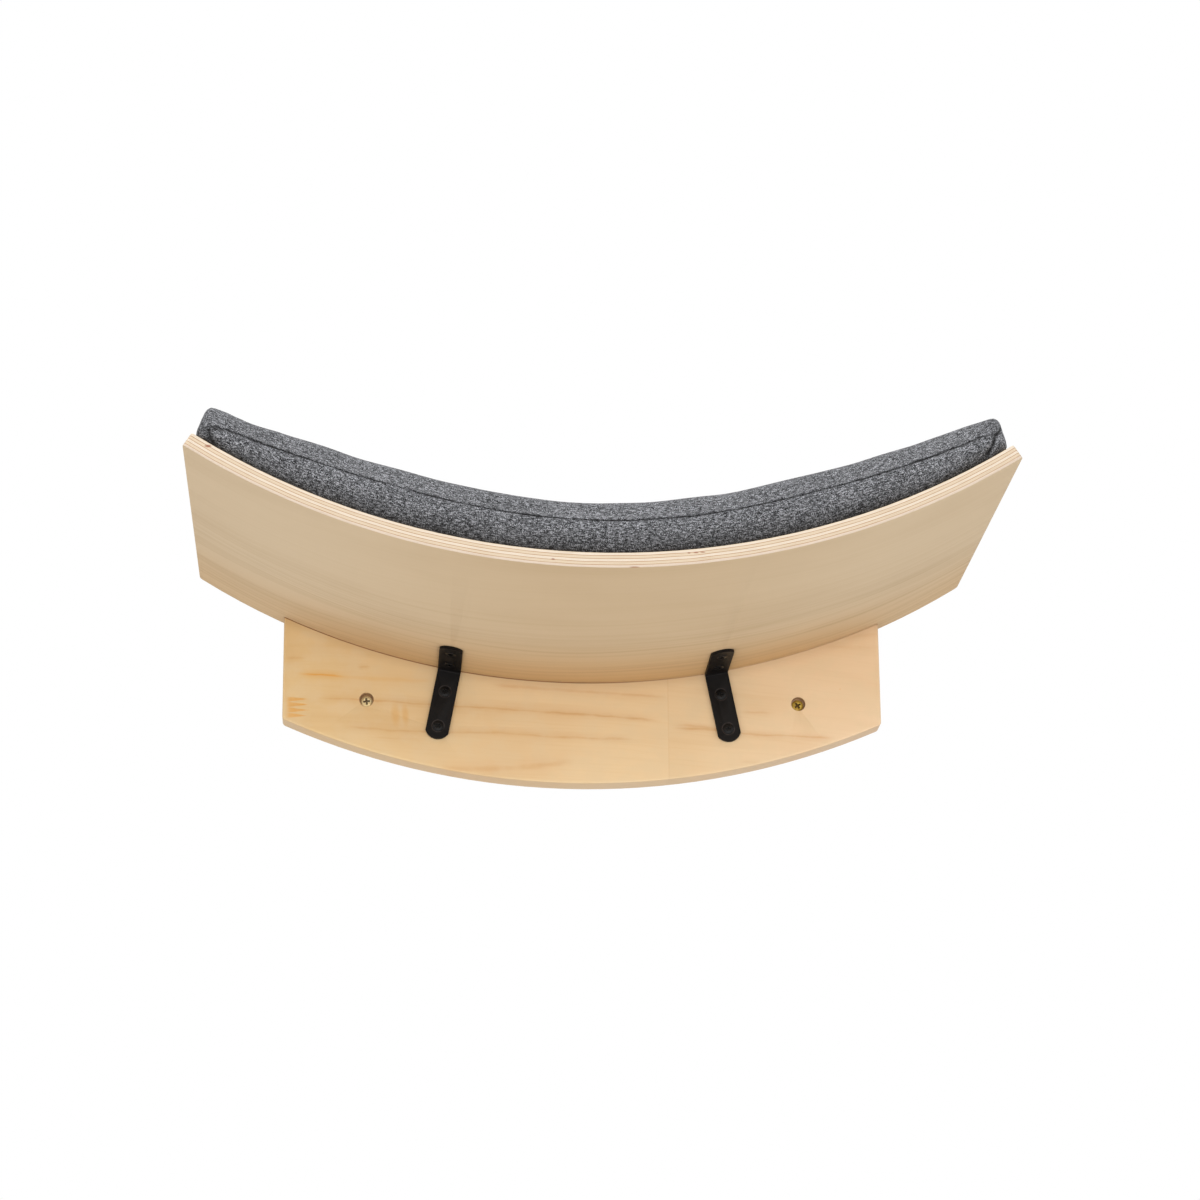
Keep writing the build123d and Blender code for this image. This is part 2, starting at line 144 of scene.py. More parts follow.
def fill(node, inputs):
    for slot, value in inputs.items():
        if isinstance(value, Signal):
            value.tree.links.new(value.socket, node.inputs[slot])
        else:
            node.inputs[slot].default_value = value
    return node


def put(tree, kind, inputs=None, **settings):
    made = tree.nodes.new(kind)
    for name, value in settings.items():
        setattr(made, name, value)
    return fill(made, inputs or {})


def get(tree, kind, inputs=None, out=0, **settings):
    return Signal(put(tree, kind, inputs, **settings).outputs[out])


def treeOf(values):
    return next((value.tree for value in values if isinstance(value, Signal)), None)


def calc(operation, *values):
    return get(treeOf(values), "ShaderNodeMath", dict(enumerate(values)), operation=operation)


def span(a, b):
    return calc("SQRT", a * a + b * b)


def axes(x, y, z):
    tree = treeOf((x, y, z))
    return (x, y, z) if tree is None else get(tree, "ShaderNodeCombineXYZ", {0: x, 1: y, 2: z})


def split(vector):
    return [Signal(part) for part in put(vector.tree, "ShaderNodeSeparateXYZ", {0: vector}).outputs]


def grain(place, scale=1.0, detail=3.0, roughness=0.55):
    inputs = {"Vector": place, "Scale": scale, "Detail": detail, "Roughness": roughness}
    return get(place.tree, "ShaderNodeTexNoise", inputs)


def veins(x, y, z, detail=3.0, roughness=0.55):
    return grain(axes(x, y, z), 1.0, detail, roughness)


def ramp(value, low, high, toLow=0.0, toHigh=1.0, kind="SMOOTHSTEP"):
    inputs = {0: value, 1: low, 2: high, 3: toLow, 4: toHigh}
    return get(value.tree, "ShaderNodeMapRange", inputs, interpolation_type=kind)


def tint(red, green, blue):
    channels = []
    for level in (red, green, blue):
        part = level / 255
        channels.append(part / 12.92 if part <= 0.04045 else ((part + 0.055) / 1.055) ** 2.4)
    return (*channels, 1.0)


def blend(share, *colours):
    # two colours, each a signal or red, green and blue out of 255
    first, second = (colour if isinstance(colour, Signal) else tint(*colour) for colour in colours)
    return get(share.tree, "ShaderNodeMix", {0: share, 6: first, 7: second}, out=2, data_type="RGBA")


def bump(height, distance, strength):
    return get(height.tree, "ShaderNodeBump", {"Height": height, "Distance": distance, "Strength": strength})


def newFinish(name):
    finish = bpy.data.materials.new(name)
    finish.use_nodes = True
    tree = finish.node_tree
    tree.nodes.clear()
    shader = put(tree, "ShaderNodeBsdfPrincipled")
    put(tree, "ShaderNodeOutputMaterial", {"Surface": Signal(shader.outputs[0])})
    return finish, shader


def objectPlace(shader):
    place = get(shader.id_data, "ShaderNodeTexCoord", out="Object")
    return place, *split(place)


def spot(u, v, centre, reach, soft):
    away = span((u - centre[0]) / reach[0], (v - centre[1]) / reach[1])
    return ramp(away, 1.0, 1.0 - soft)


# Wood finishes

plywoodLook = {
    "face": (205, 183, 152),
    "faceMiddleShade": (195, 169, 134),
    "faceDark": (162, 132, 94),
    "edge": (219, 205, 186),
    "edgeCross": (211, 193, 168),
    "edgeLowest": (211, 194, 176),
    "wallBounceTint": (197, 156, 104),
    "glueLine": (160, 108, 66),
    "knot": (142, 84, 62),
    "plies": 5.0,
    "knots": [  # x, z and half sizes in millimetres, on the front edge
        (-234.7, 85.5, 2.8, 1.2), (-31.6, 18.0, 1.6, 0.7), (48.5, 22.9, 1.3, 0.6),
        (52.7, 23.2, 2.2, 0.6), (56.6, 23.5, 2.2, 0.5), (16.5, 13.7, 4.0, 0.5)],
}


def plywoodFinish():
    look = plywoodLook
    finish, shader = newFinish("bentPlywoodFinish")
    place, x, y, z = objectPlace(shader)
    drop = bendHeight - z
    radius = span(x, drop)
    arc = calc("ARCTAN2", x, drop) * underRadius
    level = (radius - topRadius) / (underRadius - topRadius)  # 0 on top, 1 underneath

    # face veneers: grain lines run along the bend
    swayed = y + (veins(arc * 3.0, y * 9.0, 0.3, 2.0) - 0.5) * 0.05
    lines = veins(arc * 5.0, swayed * 330.0, 1.7, 4.0, 0.6)
    rings = veins(arc * 2.6, swayed * 120.0, 5.1, 3.0, 0.5)
    patches = veins(arc * 6.0, y * 14.0, 8.0, 2.0, 0.5)
    shade = ramp(lines, 0.42, 0.72) * 0.28 + ramp(rings, 0.50, 0.68) * 0.18
    shade = shade * ramp(y, -0.19, -0.02, 0.12, 1.0) + ramp(patches, 0.40, 0.75) * 0.16
    # painted shade: the middle of the board, over the wall plate, darker than its ends
    aside = calc("ABSOLUTE", x)
    # painted bounce light and shade: warmer, darker wood towards the wall
    wallBounceShade = ramp(y, -0.11, -0.004, 0.0, 0.85) * ramp(aside, 0.22, 0.10, 0.45, 1.0)
    face = blend(ramp(aside, 0.20, 0.02, 0.0, 0.7), look["face"], look["faceMiddleShade"])
    face = blend(wallBounceShade, face, look["wallBounceTint"])
    face = blend(shade, face, look["faceDark"])

    # edges: five plies with thin glue lines between them
    ply = (level + (grain(place, 45.0, 2.0) - 0.5) * 0.05) * look["plies"]
    within, index = calc("FRACT", ply), calc("FLOOR", ply)
    isCross = calc("FRACT", index * 0.5) * 2.0
    fibres = veins(arc * 60.0, y * 60.0, radius * 2600.0)
    plies = blend(isCross, look["edge"], look["edgeCross"])
    plies = blend(ramp(level, 0.80, 0.84), plies, look["edgeLowest"])
    plies = blend(ramp(fibres, 0.45, 0.75) * 0.28, plies, look["faceDark"])
    plies = blend(ramp(grain(place, 1500.0, 2.0), 0.55, 0.75) * 0.20, plies, look["glueLine"])
    glueBreak = ramp(veins(arc * 55.0, y * 55.0, index), 0.30, 0.62, 0.66, 0.95)
    glue = ramp(calc("MINIMUM", within, 1.0 - within), 0.13, 0.03) * glueBreak
    plies = blend(glue, plies, look["glueLine"])
    for knotX, knotZ, wide, high in look["knots"]:
        mark = spot(x, z, (knotX * mm, knotZ * mm), (wide * mm, high * mm), 0.7)
        plies = blend(mark * ramp(y, -0.2480, -0.2492) * 0.8, plies, look["knot"])
    onEdge = ramp(calc("MINIMUM", level, 1.0 - level), 0.012, 0.035)
    fill(shader, {
        "Base Color": blend(onEdge, face, plies),
        "Normal": bump(lines * 0.6 + fibres * (onEdge * 0.8), 0.00005, 0.5),
        "Roughness": ramp(lines, 0.2, 0.8, 0.78, 0.90),
        "Specular IOR Level": 0.15,
    })
    return finish


pineLook = {
    "left": (225, 192, 140),
    "middle": (234, 204, 159),
    "right": (237, 206, 168),
    "late": (210, 167, 112),
    "pale": (225, 200, 160),
    "line": (204, 146, 84),
    "resin": (222, 160, 72),
    "sideGrainShade": (180, 149, 113),
    "shadow": (128, 74, 34),
    "staveEnd": 0.0551,
    "curveHalfWidth": 0.2,
    "curveHalfHeight": 0.06,
    # in millimetres: places (x, z) it runs through, half width; then its strength
    "growthLines": [
        ([(-171.0, 0.8), (-149.4, 0.2), (-103.0, -2.5), (-53.9, -5.4), (-15.7, -7.7), (29.2, -10.5),
          (51.0, -12.4)], 1.0, 0.62),
        ([(-153.8, -17.8), (-107.5, -21.2), (-53.9, -21.4), (-22.1, -23.6), (33.0, -24.6)], 1.2, 0.50),
        ([(-60.4, 11.2), (-22.0, 8.3), (6.3, 6.6), (31.9, 4.9), (55.1, 3.8)], 1.5, 0.40),
        ([(57.5, -17.1), (84.3, -17.9), (106.1, -20.4), (140.6, -21.8), (163.1, -23.0)], 1.0, 0.55),
        ([(57.5, -15.0), (69.1, -15.4), (103.0, -19.8)], 0.9, 0.32),
        ([(153.5, 39.6), (196.0, 38.7)], 2.2, 0.34),
        ([(169.3, 45.3), (196.0, 48.4)], 1.8, 0.24),
        ([(101.6, -6.1), (125.1, -5.8)], 1.1, 0.30),
        ([(100.9, -39.4), (115.6, -39.7)], 0.9, 0.26),
        ([(-192.7, 27.7), (-179.9, 27.8)], 1.4, 0.42),
        ([(-145.0, 22.0), (-139.0, 22.1)], 0.9, 0.66),
        ([(-66.0, 20.5), (-50.0, 20.0)], 0.8, 0.22),
        ([(-139.0, -25.0), (-102.0, -26.2)], 0.9, 0.22),
        ([(-95.1, -45.5), (-60.3, -45.5), (-5.6, -40.0)], 3.0, 0.42),
    ],
    "resinStreaks": [
        ([(-185.0, 17.2), (-170.0, 16.4), (-152.0, 15.1)], 1.2, 0.95),
        ([(-160.0, 15.3), (-120.0, 13.5), (-95.0, 13.0)], 2.2, 0.26),
    ],
    "resinSpots": [  # centre, half sizes; strength
        ((-121.2, -10.0), (4.0, 10.5), 0.34), ((-115.0, -9.8), (3.2, 10.0), 0.36), ((167.6, 10.5), (0.8, 0.6), 0.5)],
    "toothPitch": 0.0037,
}


def curveThrough(x, places):
    # height of a smooth line through the places, read off at x
    halfWidth, halfHeight = pineLook["curveHalfWidth"], pineLook["curveHalfHeight"]
    node = put(x.tree, "ShaderNodeFloatCurve", {1: ramp(x, -halfWidth, halfWidth, kind="LINEAR")})
    points = node.mapping.curves[0].points
    spots = [((placeX * mm / halfWidth + 1) / 2, (placeZ * mm / halfHeight + 1) / 2) for placeX, placeZ in places]
    points[0].location, points[1].location = spots[0], spots[-1]
    for where in spots[1:-1]:
        points.new(*where)
    node.mapping.update()
    return Signal(node.outputs[0]) * (2 * halfHeight) - halfHeight


def grownLine(x, z, places, width, uneven):
    off = calc("ABSOLUTE", z - curveThrough(x, places))
    start, end, width = places[0][0] * mm, places[-1][0] * mm, width * mm
    soft = ramp(off, width, 0.0) * 0.6 + ramp(off, width * 4, 0.0) * 0.4
    run = min(0.012, (end - start) * 0.35)
    return soft * ramp(x, start - 0.002, start + run) * ramp(x, end + 0.002, end - run) * uneven


def pineFinish():
    look = pineLook
    finish, shader = newFinish("pinePlateFinish")
    _, x, y, z = objectPlace(shader)
    swayedZ = z + (veins(x * 9.0, 0.0, z * 26.0) - 0.5) * 0.006
    beside = ramp(x, look["staveEnd"] - 0.0001, look["staveEnd"] + 0.0001) * 7.0
    across = swayedZ - curveThrough(x, look["growthLines"][0][0]) + y * 0.45
    rings = veins(x * 4.0, beside, across * 75.0, 2.0, 0.5)
    fine = veins(x * 16.0, beside, across * 620.0, 3.0, 0.6)
    broad = veins(x * 8.0, beside, across * 26.0, 2.0, 0.5)
    mottle = veins(x * 45.0, beside, z * 60.0, 3.0, 0.6)

    ground = blend(ramp(x, -0.19, -0.02), look["left"], look["middle"])
    ground = blend(ramp(x, 0.02, 0.19), ground, look["right"])
    shade = ramp(rings, 0.50, 0.70) * 0.20 + ramp(fine, 0.45, 0.8) * 0.14 + ramp(broad, 0.42, 0.75) * 0.26
    wood = blend(shade, ground, look["late"])
    wood = blend(ramp(mottle, 0.60, 0.35, 0.0, 0.35), wood, look["pale"])

    uneven = ramp(veins(x * 55.0, 0.0, z * 90.0), 0.30, 0.66, 0.45, 1.0)
    raggedZ = z + (veins(x * 70.0, 0.0, z * 300.0, 2.0) - 0.5) * 0.0022
    for group, colour, breaks in (("growthLines", "line", uneven), ("resinStreaks", "resin", 1.0)):
        for places, width, strength in look[group]:
            wood = blend(grownLine(x, raggedZ, places, width, breaks) * strength, wood, look[colour])
    for centre, reach, strength in look["resinSpots"]:
        centre, reach = np.array(centre) * mm, np.array(reach) * mm
        mark = spot(x + (z - centre[1]) * 0.08, raggedZ, centre, reach, 0.8)
        wood = blend(mark * strength, wood, look["resin"])

    # finger joint at the left end, its teeth filled with darker wood
    tooth = calc("ABSOLUTE", calc("FRACT", z / look["toothPitch"]) - 0.5)
    reach = tooth * 0.022 - 0.1895 + (mottle - 0.5) * 0.012
    comb = ramp(reach - x, -0.0022, 0.0022) * ramp(x, -0.1925, -0.1890)
    comb = comb * ramp(z, 0.0020, 0.0004) * ramp(z, -0.0136, -0.0116)
    wood = blend(comb * 0.85 * ramp(mottle, 0.3, 0.6, 0.6, 1.0), wood, look["resin"])

    # butt joint between two staves
    seam = ramp(calc("ABSOLUTE", x - look["staveEnd"]), 0.0006, 0.0001)
    wood = blend(seam * 0.12, wood, look["line"])

    # painted shade: faces turned away from the front, the rounded lower edge and the sides, take a darker, duller
    # colour, partly their own side grain
    turned = ramp(split(get(x.tree, "ShaderNodeNewGeometry", out="Normal"))[1], -0.85, -0.2)
    wood = blend(turned * 0.6, wood, look["sideGrainShade"])

    # painted shadow: a dark line where the board meets the plate, with shade fading below it, and painted shade inside
    # the counterbores round the wall screws
    below = span(x, bendHeight - z) - underRadius
    contactShadow = ramp(below, 0.0010, 0.0003) * ramp(x, 0.12, -0.02, 0.35, 0.85)
    wood = blend(calc("MAXIMUM", contactShadow, ramp(below, 0.008, 0.0, 0.0, 0.14)), wood, look["shadow"])
    away = span(calc("ABSOLUTE", x) - screwSide, z)
    recessShade = ramp(away, 0.0049, 0.0045, 0.0, 0.6) * ramp(y, -0.009, -0.010)
    fill(shader, {
        "Base Color": blend(recessShade, wood, look["shadow"]),
        "Normal": bump(fine * 0.7 + rings * 0.5, 0.00005, 0.5),
        "Roughness": ramp(fine, 0.2, 0.8, 0.42, 0.56),
        "Specular IOR Level": 0.35,
    })
    return finish


# Metal finishes


def paintedSteelFinish(name, colour, wornColour, roughness, peel, gloss=0.16, highlightRims=()):
    finish, shader = newFinish(name)
    place, x, _, z = objectPlace(shader)
    cloud = grain(place, 70.0)
    wear = grain(place, 420.0, 4.0, 0.65)
    base = blend(ramp(cloud, 0.4, 0.7) * 0.5, colour, [level + 8 for level in colour])
    base = blend(ramp(wear, 0.64, 0.78) * 0.25, base, wornColour)
    for rimX, rimZ in highlightRims:  # painted highlight: a light ring round the screw seats, in the worn paint's colour
        away = span(calc("ABSOLUTE", x) - rimX, z - rimZ)
        rim = ramp(calc("ABSOLUTE", away - 0.0040), 0.00045, 0.0001)
        rim = rim * ramp(grain(place, 160.0, 2.0), 0.38, 0.62, 0.15, 0.8)
        base = blend(rim, base, wornColour)
    fill(shader, {
        "Base Color": base,
        "Roughness": ramp(cloud, 0.3, 0.7, roughness - 0.05, roughness + 0.08),
        "Normal": bump(grain(place, 900.0), peel, 0.6),
        "Specular IOR Level": gloss,
    })
    return finish


zincLook = {
    "pale": ((250, 236, 190), (236, 214, 160)),
    "brass": ((214, 186, 84), (170, 134, 50)),
    "recessShade": (64, 38, 18),
    "metallic": 0.6,
}


def platedScrewFinish():
    finish, shader = newFinish("yellowZincFinish")
    place, x, y, z = objectPlace(shader)
    away = span(calc("ABSOLUTE", x) - screwSide, z)
    # painted shade in the cross recess of each screw head
    recessShade = ramp(y, -0.01075, -0.01035) * ramp(away, 0.0026, 0.0022)
    cloud = grain(place, 320.0)
    shine = ramp(cloud, 0.35, 0.65)
    plated = blend(ramp(x, -0.02, 0.02), blend(shine, *zincLook["pale"]), blend(shine, *zincLook["brass"]))
    fill(shader, {
        "Base Color": blend(recessShade * 0.85, plated, zincLook["recessShade"]),
        "Roughness": ramp(cloud, 0.3, 0.7, 0.28, 0.42),
        "Normal": bump(grain(place, 1600.0, 2.0), 0.00002, 0.5),
        "Metallic": zincLook["metallic"],
    })
    return finish


# Cloth finishes: the cover's weave follows the cushion's own UV map, which is in metres; the tapes, foam, coil and
# thread use object coordinates

clothLook = {
    "pale": (179, 180, 185),
    "middle": (101, 102, 105),
    "dark": (29, 29, 31),
    "crease": (20, 19, 19),
    "creaseShade": 0.95,
    "tuckedShade": 0.78,
    "foldShade": 0.94,
    "threadPitch": 0.0006,
    "fleckLength": 0.0019,
}


def coverFinish():
    look = clothLook
    finish, shader = newFinish("melangeCoverFinish")
    tree = shader.id_data
    along, across, _ = split(get(tree, "ShaderNodeUVMap", uv_map="clothMetres"))
    weftRow, warpRow = across / look["threadPitch"], along / look["threadPitch"]
    weftIndex, warpIndex = calc("FLOOR", weftRow), calc("FLOOR", warpRow)

    # each thread changes shade along its length
    weftShade = veins(along / look["fleckLength"], weftIndex * 3.7, 0.2, 2.0, 0.6)
    warpShade = veins(warpIndex * 3.1, across / (look["fleckLength"] * 0.35), 4.4, 2.0, 0.6)
    isWeft = ramp(calc("FRACT", (weftIndex + warpIndex) * 0.5), 0.2, 0.3)
    shade = get(tree, "ShaderNodeMix", {0: isWeft, 2: warpShade, 3: weftShade})
    slub = veins(along * 290.0, across * 1500.0, 2.0, 2.0, 0.55)
    cloud = veins(along * 30.0, across * 45.0, 6.0, 3.0, 0.6)
    shade = shade + (slub - 0.5) * 0.55 + (cloud - 0.5) * 0.10
    colour = blend(ramp(shade, 0.37, 0.52), look["dark"], look["middle"])
    colour = blend(ramp(shade, 0.52, 0.67), colour, look["pale"])
    broken = ramp(veins(along * 70.0, across * 30.0, 1.0), 0.32, 0.60, 0.62, 1.0)
    # painted shade: darker along the seams and folds and where the boxing tucks under onto the board
    for title in ("creaseShade", "tuckedShade", "foldShade"):
        mark = get(tree, "ShaderNodeAttribute", out="Fac", attribute_name=title)
        mark = mark * broken if title == "creaseShade" else mark
        colour = blend(mark * look[title], colour, look["crease"])

    weftRound, warpRound = (calc("SINE", calc("FRACT", row) * math.pi) for row in (weftRow, warpRow))
    threads = get(tree, "ShaderNodeMix", {0: isWeft, 2: warpRound, 3: weftRound})
    fill(shader, {
        "Base Color": colour,
        "Normal": bump(threads + slub * 0.8, 0.00022, 0.75),
        "Roughness": 0.92,
        "Specular IOR Level": 0.15,
        "Sheen Weight": 0.12,
        "Sheen Roughness": 0.5,
    })
    return finish


def tapeFinish(name, colour, rib):
    finish, shader = newFinish(name)
    place, x, y, z = objectPlace(shader)
    arc = calc("ARCTAN2", x, bendHeight - z) * 0.45
    turn = 2 * math.pi / rib
    ribs = calc("SINE", (arc + (y + z)) * turn) + calc("SINE", (y - arc) * turn)
    weave = ribs * 0.25 + grain(place, 2200.0)
    fill(shader, {
        "Base Color": blend(ramp(weave, 0.2, 0.9), colour, [level + 26 for level in colour]),
        "Normal": bump(weave, 0.00015, 0.7),
        "Roughness": 0.88,
        "Specular IOR Level": 0.2,
    })
    return finish


def foamFinish():
    finish, shader = newFinish("foamFinish")
    place = objectPlace(shader)[0]
    cells = get(place.tree, "ShaderNodeTexVoronoi", {"Vector": place, "Scale": 900.0}, out="Distance")
    base = blend(ramp(cells, 0.1, 0.6), (214, 208, 190), (238, 233, 218))
    fill(shader, {
        "Base Color": blend(grain(place, 30.0) * 0.15, base, (222, 206, 170)),
        "Normal": bump(cells, 0.0004, 0.8),
        "Roughness": 0.95,
    })
    return finish


def coilFinish():
    finish, shader = newFinish("nylonCoilFinish")
    cloud = grain(objectPlace(shader)[0], 600.0, 2.0)
    fill(shader, {
        "Base Color": blend(cloud, (64, 64, 68), (92, 92, 97)),
        "Roughness": ramp(cloud, 0.3, 0.7, 0.38, 0.52),
    })
    return finish


def threadFinish():
    finish, shader = newFinish("stitchThreadFinish")
    twist = grain(objectPlace(shader)[0], 3000.0, 2.0)
    fill(shader, {
        "Base Color": blend(twist, (52, 52, 55), (96, 97, 101)),
        "Normal": bump(twist, 0.00006, 0.6),
        "Roughness": 0.7,
    })
    return finish


def seenDirectly(tree):
    # 1 for rays from the camera, in mirrors and through glass
    rays = ("Camera", "Glossy", "Transmission")
    camera, glossy, glass = (get(tree, "ShaderNodeLightPath", out=f"Is {ray} Ray") for ray in rays)
    return calc("MAXIMUM", camera, calc("MAXIMUM", glossy, glass))


def pouredFloorFinish():
    finish, shader = newFinish("paleFloorFinish")
    fill(shader, {"Base Color": (0.86, 0.86, 0.86, 1.0), "Roughness": 0.9, "Specular IOR Level": 0.0})
    _, x, y, _ = objectPlace(shader)
    tree = x.tree
    white = get(tree, "ShaderNodeEmission", {"Color": (1, 1, 1, 1), "Strength": 1.0})
    clear = get(tree, "ShaderNodeBsdfTransparent")
    fade = ramp(span(x, y), 1.0, 3.2) * seenDirectly(tree)
    shown = get(tree, "ShaderNodeMixShader", {0: fade, 1: Signal(shader.outputs[0]), 2: white})
    under = get(tree, "ShaderNodeNewGeometry", out="Backfacing")
    shown = get(tree, "ShaderNodeMixShader", {0: under, 1: shown, 2: clear})
    fill(next(node for node in tree.nodes if node.type == "OUTPUT_MATERIAL"), {"Surface": shown})
    return finish


def layFloor():
    data = bpy.data.meshes.new("studioFloor")
    wide, low = studio["floorHalfWidth"], studio["floorHeight"]
    corners = [(x * wide, y * wide, low) for x, y in ((-1, -1), (1, -1), (1, 1), (-1, 1))]
    data.from_pydata(corners, [], [(0, 1, 2, 3)])
    data.materials.append(pouredFloorFinish())
    floor = addObject("studioFloor", data)


def lightWorld():
    world = bpy.data.worlds.new("softStudio")
    world.use_nodes = True
    tree = world.node_tree
    tree.nodes.clear()
    strength = ramp(seenDirectly(tree), 0.0, 1.0, studio["worldLight"], 1.0, kind="LINEAR")
    sky = get(tree, "ShaderNodeBackground", {"Color": (1, 1, 1, 1), "Strength": strength})
    put(tree, "ShaderNodeOutputWorld", {"Surface": sky})
    scene.world = world


placeCamera()
hangLamps()
lightWorld()
layFloor()
print("studio set up")

bracketAngle = math.asin(0.0865 / underRadius)
plateScrewReach = (0.016, 0.0395)  # below the bend of the bracket
highlightRimPlaces = [(radius * math.sin(bracketAngle), bendHeight - radius * math.cos(bracketAngle))
             for radius in (underRadius + reach for reach in plateScrewReach)]

finishes = {
    "plywood": plywoodFinish(),
    "pine": pineFinish(),
    "bracket_paint": paintedSteelFinish("blackBracketFinish", (14, 11, 10), (64, 57, 54), 0.46, 0.00005,
                                        highlightRims=highlightRimPlaces),
    "screw_paint": paintedSteelFinish("blackScrewFinish", (11, 10, 10), (44, 40, 38), 0.34, 0.00003, 0.22),
    "wall_screw_zinc": platedScrewFinish(),
    "cover_fabric": coverFinish(),
    "foam": foamFinish(),
    "hook_tape": tapeFinish("hookTapeFinish", (40, 40, 42), 0.0012),
    "loop_tape": tapeFinish("loopTapeFinish", (48, 48, 51), 0.0012),
    "zip_tape": tapeFinish("zipTapeFinish", (38, 38, 41), 0.0009),
    "zip_coil": coilFinish(),
    "stitch_thread": threadFinish(),
    "zip_metal": paintedSteelFinish("zipSliderFinish", (44, 43, 44), (104, 102, 98), 0.30, 0.00002, 0.5),
}

slotOf = {row["node"]: row["material_slot"] for row in frame["record"]["subparts"]}
for name, obj in frame["nodes"].items():
    obj.data.materials.clear()
    obj.data.materials.append(finishes[slotOf[name]])
print("finishes put on the frame's pieces")


# Cushion. Lengths here are millimetres: a cover of three panels is laid out on a grid that
# follows the bend, blown up a little as cloth, and creased along its seams.

cushionShape = {
    "topRadius": 454.5,
    "clearance": 0.3,
    "halfArc": 255.02,
    "halfDepth": 125.0,
    "crownRun": 207.0,
    "fineShare": 0.922,  # beyond this share of the half length the stations lie closer
    "endShare": 0.978,  # and beyond this one the end turns down
    "endTurn": (5.6, 9.5),
    "seamHeight": 23.8,
    "shoulderRise": 15.2,
    "shoulderWidth": 13.9,
    "crownRise": 4.6,
    "sideInset": 5.0,
    "drawnIn": 2.5,
    "bulge": 2.4,
    "endBulge": 0.3,
    "endReach": (1.7, 1.5),  # left, right
    "cornerDip": ((7.0, 13.0, 0.9), (2.2, 11.2, 4.0)),  # left, right: depth, reach, power
    "endLean": (0.53, 0.64),
    "endPower": 3.4,
    "cornerRadius": 9.5,
    "bottomRound": 5.2,
    "seamDepth": 0.42,
    "seamWidth": 0.5,
    "shoulderPower": 2.2,
    "shares": [  # half length, seam height, shoulder rise, crown rise, drawn-in depth
        (0.00, 0.937, 1.010, 1.00, 1.00), (0.25, 0.971, 1.045, 1.00, 1.00),
        (0.48, 1.000, 1.080, 0.95, 1.00), (0.68, 0.924, 1.070, 0.85, 1.00),
        (0.82, 0.807, 0.985, 0.70, 1.00), (0.91, 0.710, 0.880, 0.50, 0.60),
        (0.955, 0.660, 0.780, 0.35, 0.30), (0.98, 0.639, 0.720, 0.20, 0.12),
        (1.00, 0.622, 0.660, 0.05, 0.00),
    ],
    "slotHeights": (6.0, 14.0),
    "slotHalfAngle": 24.004,
    "slotFloor": 9.2,
    "stripAngle": 20.0,  # recesses over the hook and loop strips
    "stripHalf": (12.5, 75.0),
    "stripMargin": 3.6,
    "stripRecess": 2.75,
    "puckers": (7.5, 9.8, 12.5, 6.2),
}


def smoothThrough(where, xs, ys):
    xs, ys = np.asarray(xs, float), np.asarray(ys, float)
    step = np.diff(xs)
    rise = np.diff(ys) / step
    slope = np.zeros_like(ys)
    for i in range(1, len(xs) - 1):
        if rise[i - 1] * rise[i] > 0:
            slope[i] = 2 * rise[i - 1] * rise[i] / (rise[i - 1] + rise[i])
    slope[-1] = rise[-1]
    k = np.clip(np.searchsorted(xs, where, side="right") - 1, 0, len(step) - 1)
    t = (where - xs[k]) / step[k]
    return ((1 + 2 * t) * (1 - t) ** 2 * ys[k] + t * (1 - t) ** 2 * step[k] * slope[k]
            + t * t * (3 - 2 * t) * ys[k + 1] + t * t * (t - 1) * step[k] * slope[k + 1])


def sectionShare(column, share):
    table = np.array(cushionShape["shares"])
    return smoothThrough(np.abs(share), table[:, 0], table[:, column])


def ripple(where, waves, seed):
    maker = np.random.default_rng(seed)
    total = np.zeros_like(where, dtype=float)
    for length in waves:
        phase, weight = maker.uniform(0, 2 * np.pi), maker.uniform(0.6, 1.0)
        total += weight * np.sin(2 * np.pi * where / (length * maker.uniform(0.9, 1.1)) + phase)
    return total / len(waves)


def patchRipple(u, v, waves, seed):
    maker = np.random.default_rng(seed)
    total = np.zeros_like(u, dtype=float)
    for length in waves:
        turn, phase, weight = maker.uniform(0, np.pi), maker.uniform(0, 2 * np.pi), maker.uniform(0.6, 1.0)
        total += weight * np.sin(2 * np.pi * (u * np.cos(turn) + v * np.sin(turn)) / length + phase)
    return total / len(waves)


def shoulderPlan(width, rise, power):
    # shares of a rounded shoulder's width and rise along its curve, and the curve's length
    inward = np.linspace(0, 1, 400)
    upward = 1 - (1 - inward) ** power
    run = np.concatenate([[0], np.cumsum(np.hypot(np.diff(inward) * width, np.diff(upward) * rise))])
    return inward, upward, run


def lengthStations(middleStep, edgeSteps):
    c = cushionShape
    endShare = c["endShare"]
    inward, _, run = shoulderPlan(*c["endTurn"], c["endPower"])
    steps = np.array(edgeSteps)[np.array(edgeSteps) < run[-1] * 0.93]
    ends = 1 - (1 - endShare) * np.interp(steps, run, inward)
    fineShare = c["fineShare"] if middleStep < 3 else endShare
    middle = np.linspace(-fineShare, fineShare, int(round(fineShare * c["halfArc"] * 2 / middleStep)) + 1)
    if middleStep < 3:
        beside = np.linspace(fineShare, endShare, 19)[1:]
        middle = np.concatenate([-beside[::-1], middle, beside])
    return np.concatenate([-ends, middle, ends[::-1]])


def depthStations(middleStep, edgeSteps):
    # 0 to 1 is the front shoulder's turn, 1 to 2 the crown, 2 to 3 the back shoulder
    c = cushionShape
    run = shoulderPlan(c["shoulderWidth"], c["shoulderRise"], c["shoulderPower"])[2]
    shoulder = np.array(edgeSteps) / run[-1]
    shoulder = shoulder[shoulder < 0.95]
    count = int(round(c["crownRun"] / middleStep))
    return np.concatenate([shoulder, np.linspace(1, 2, count + 1), 3 - shoulder[::-1]])


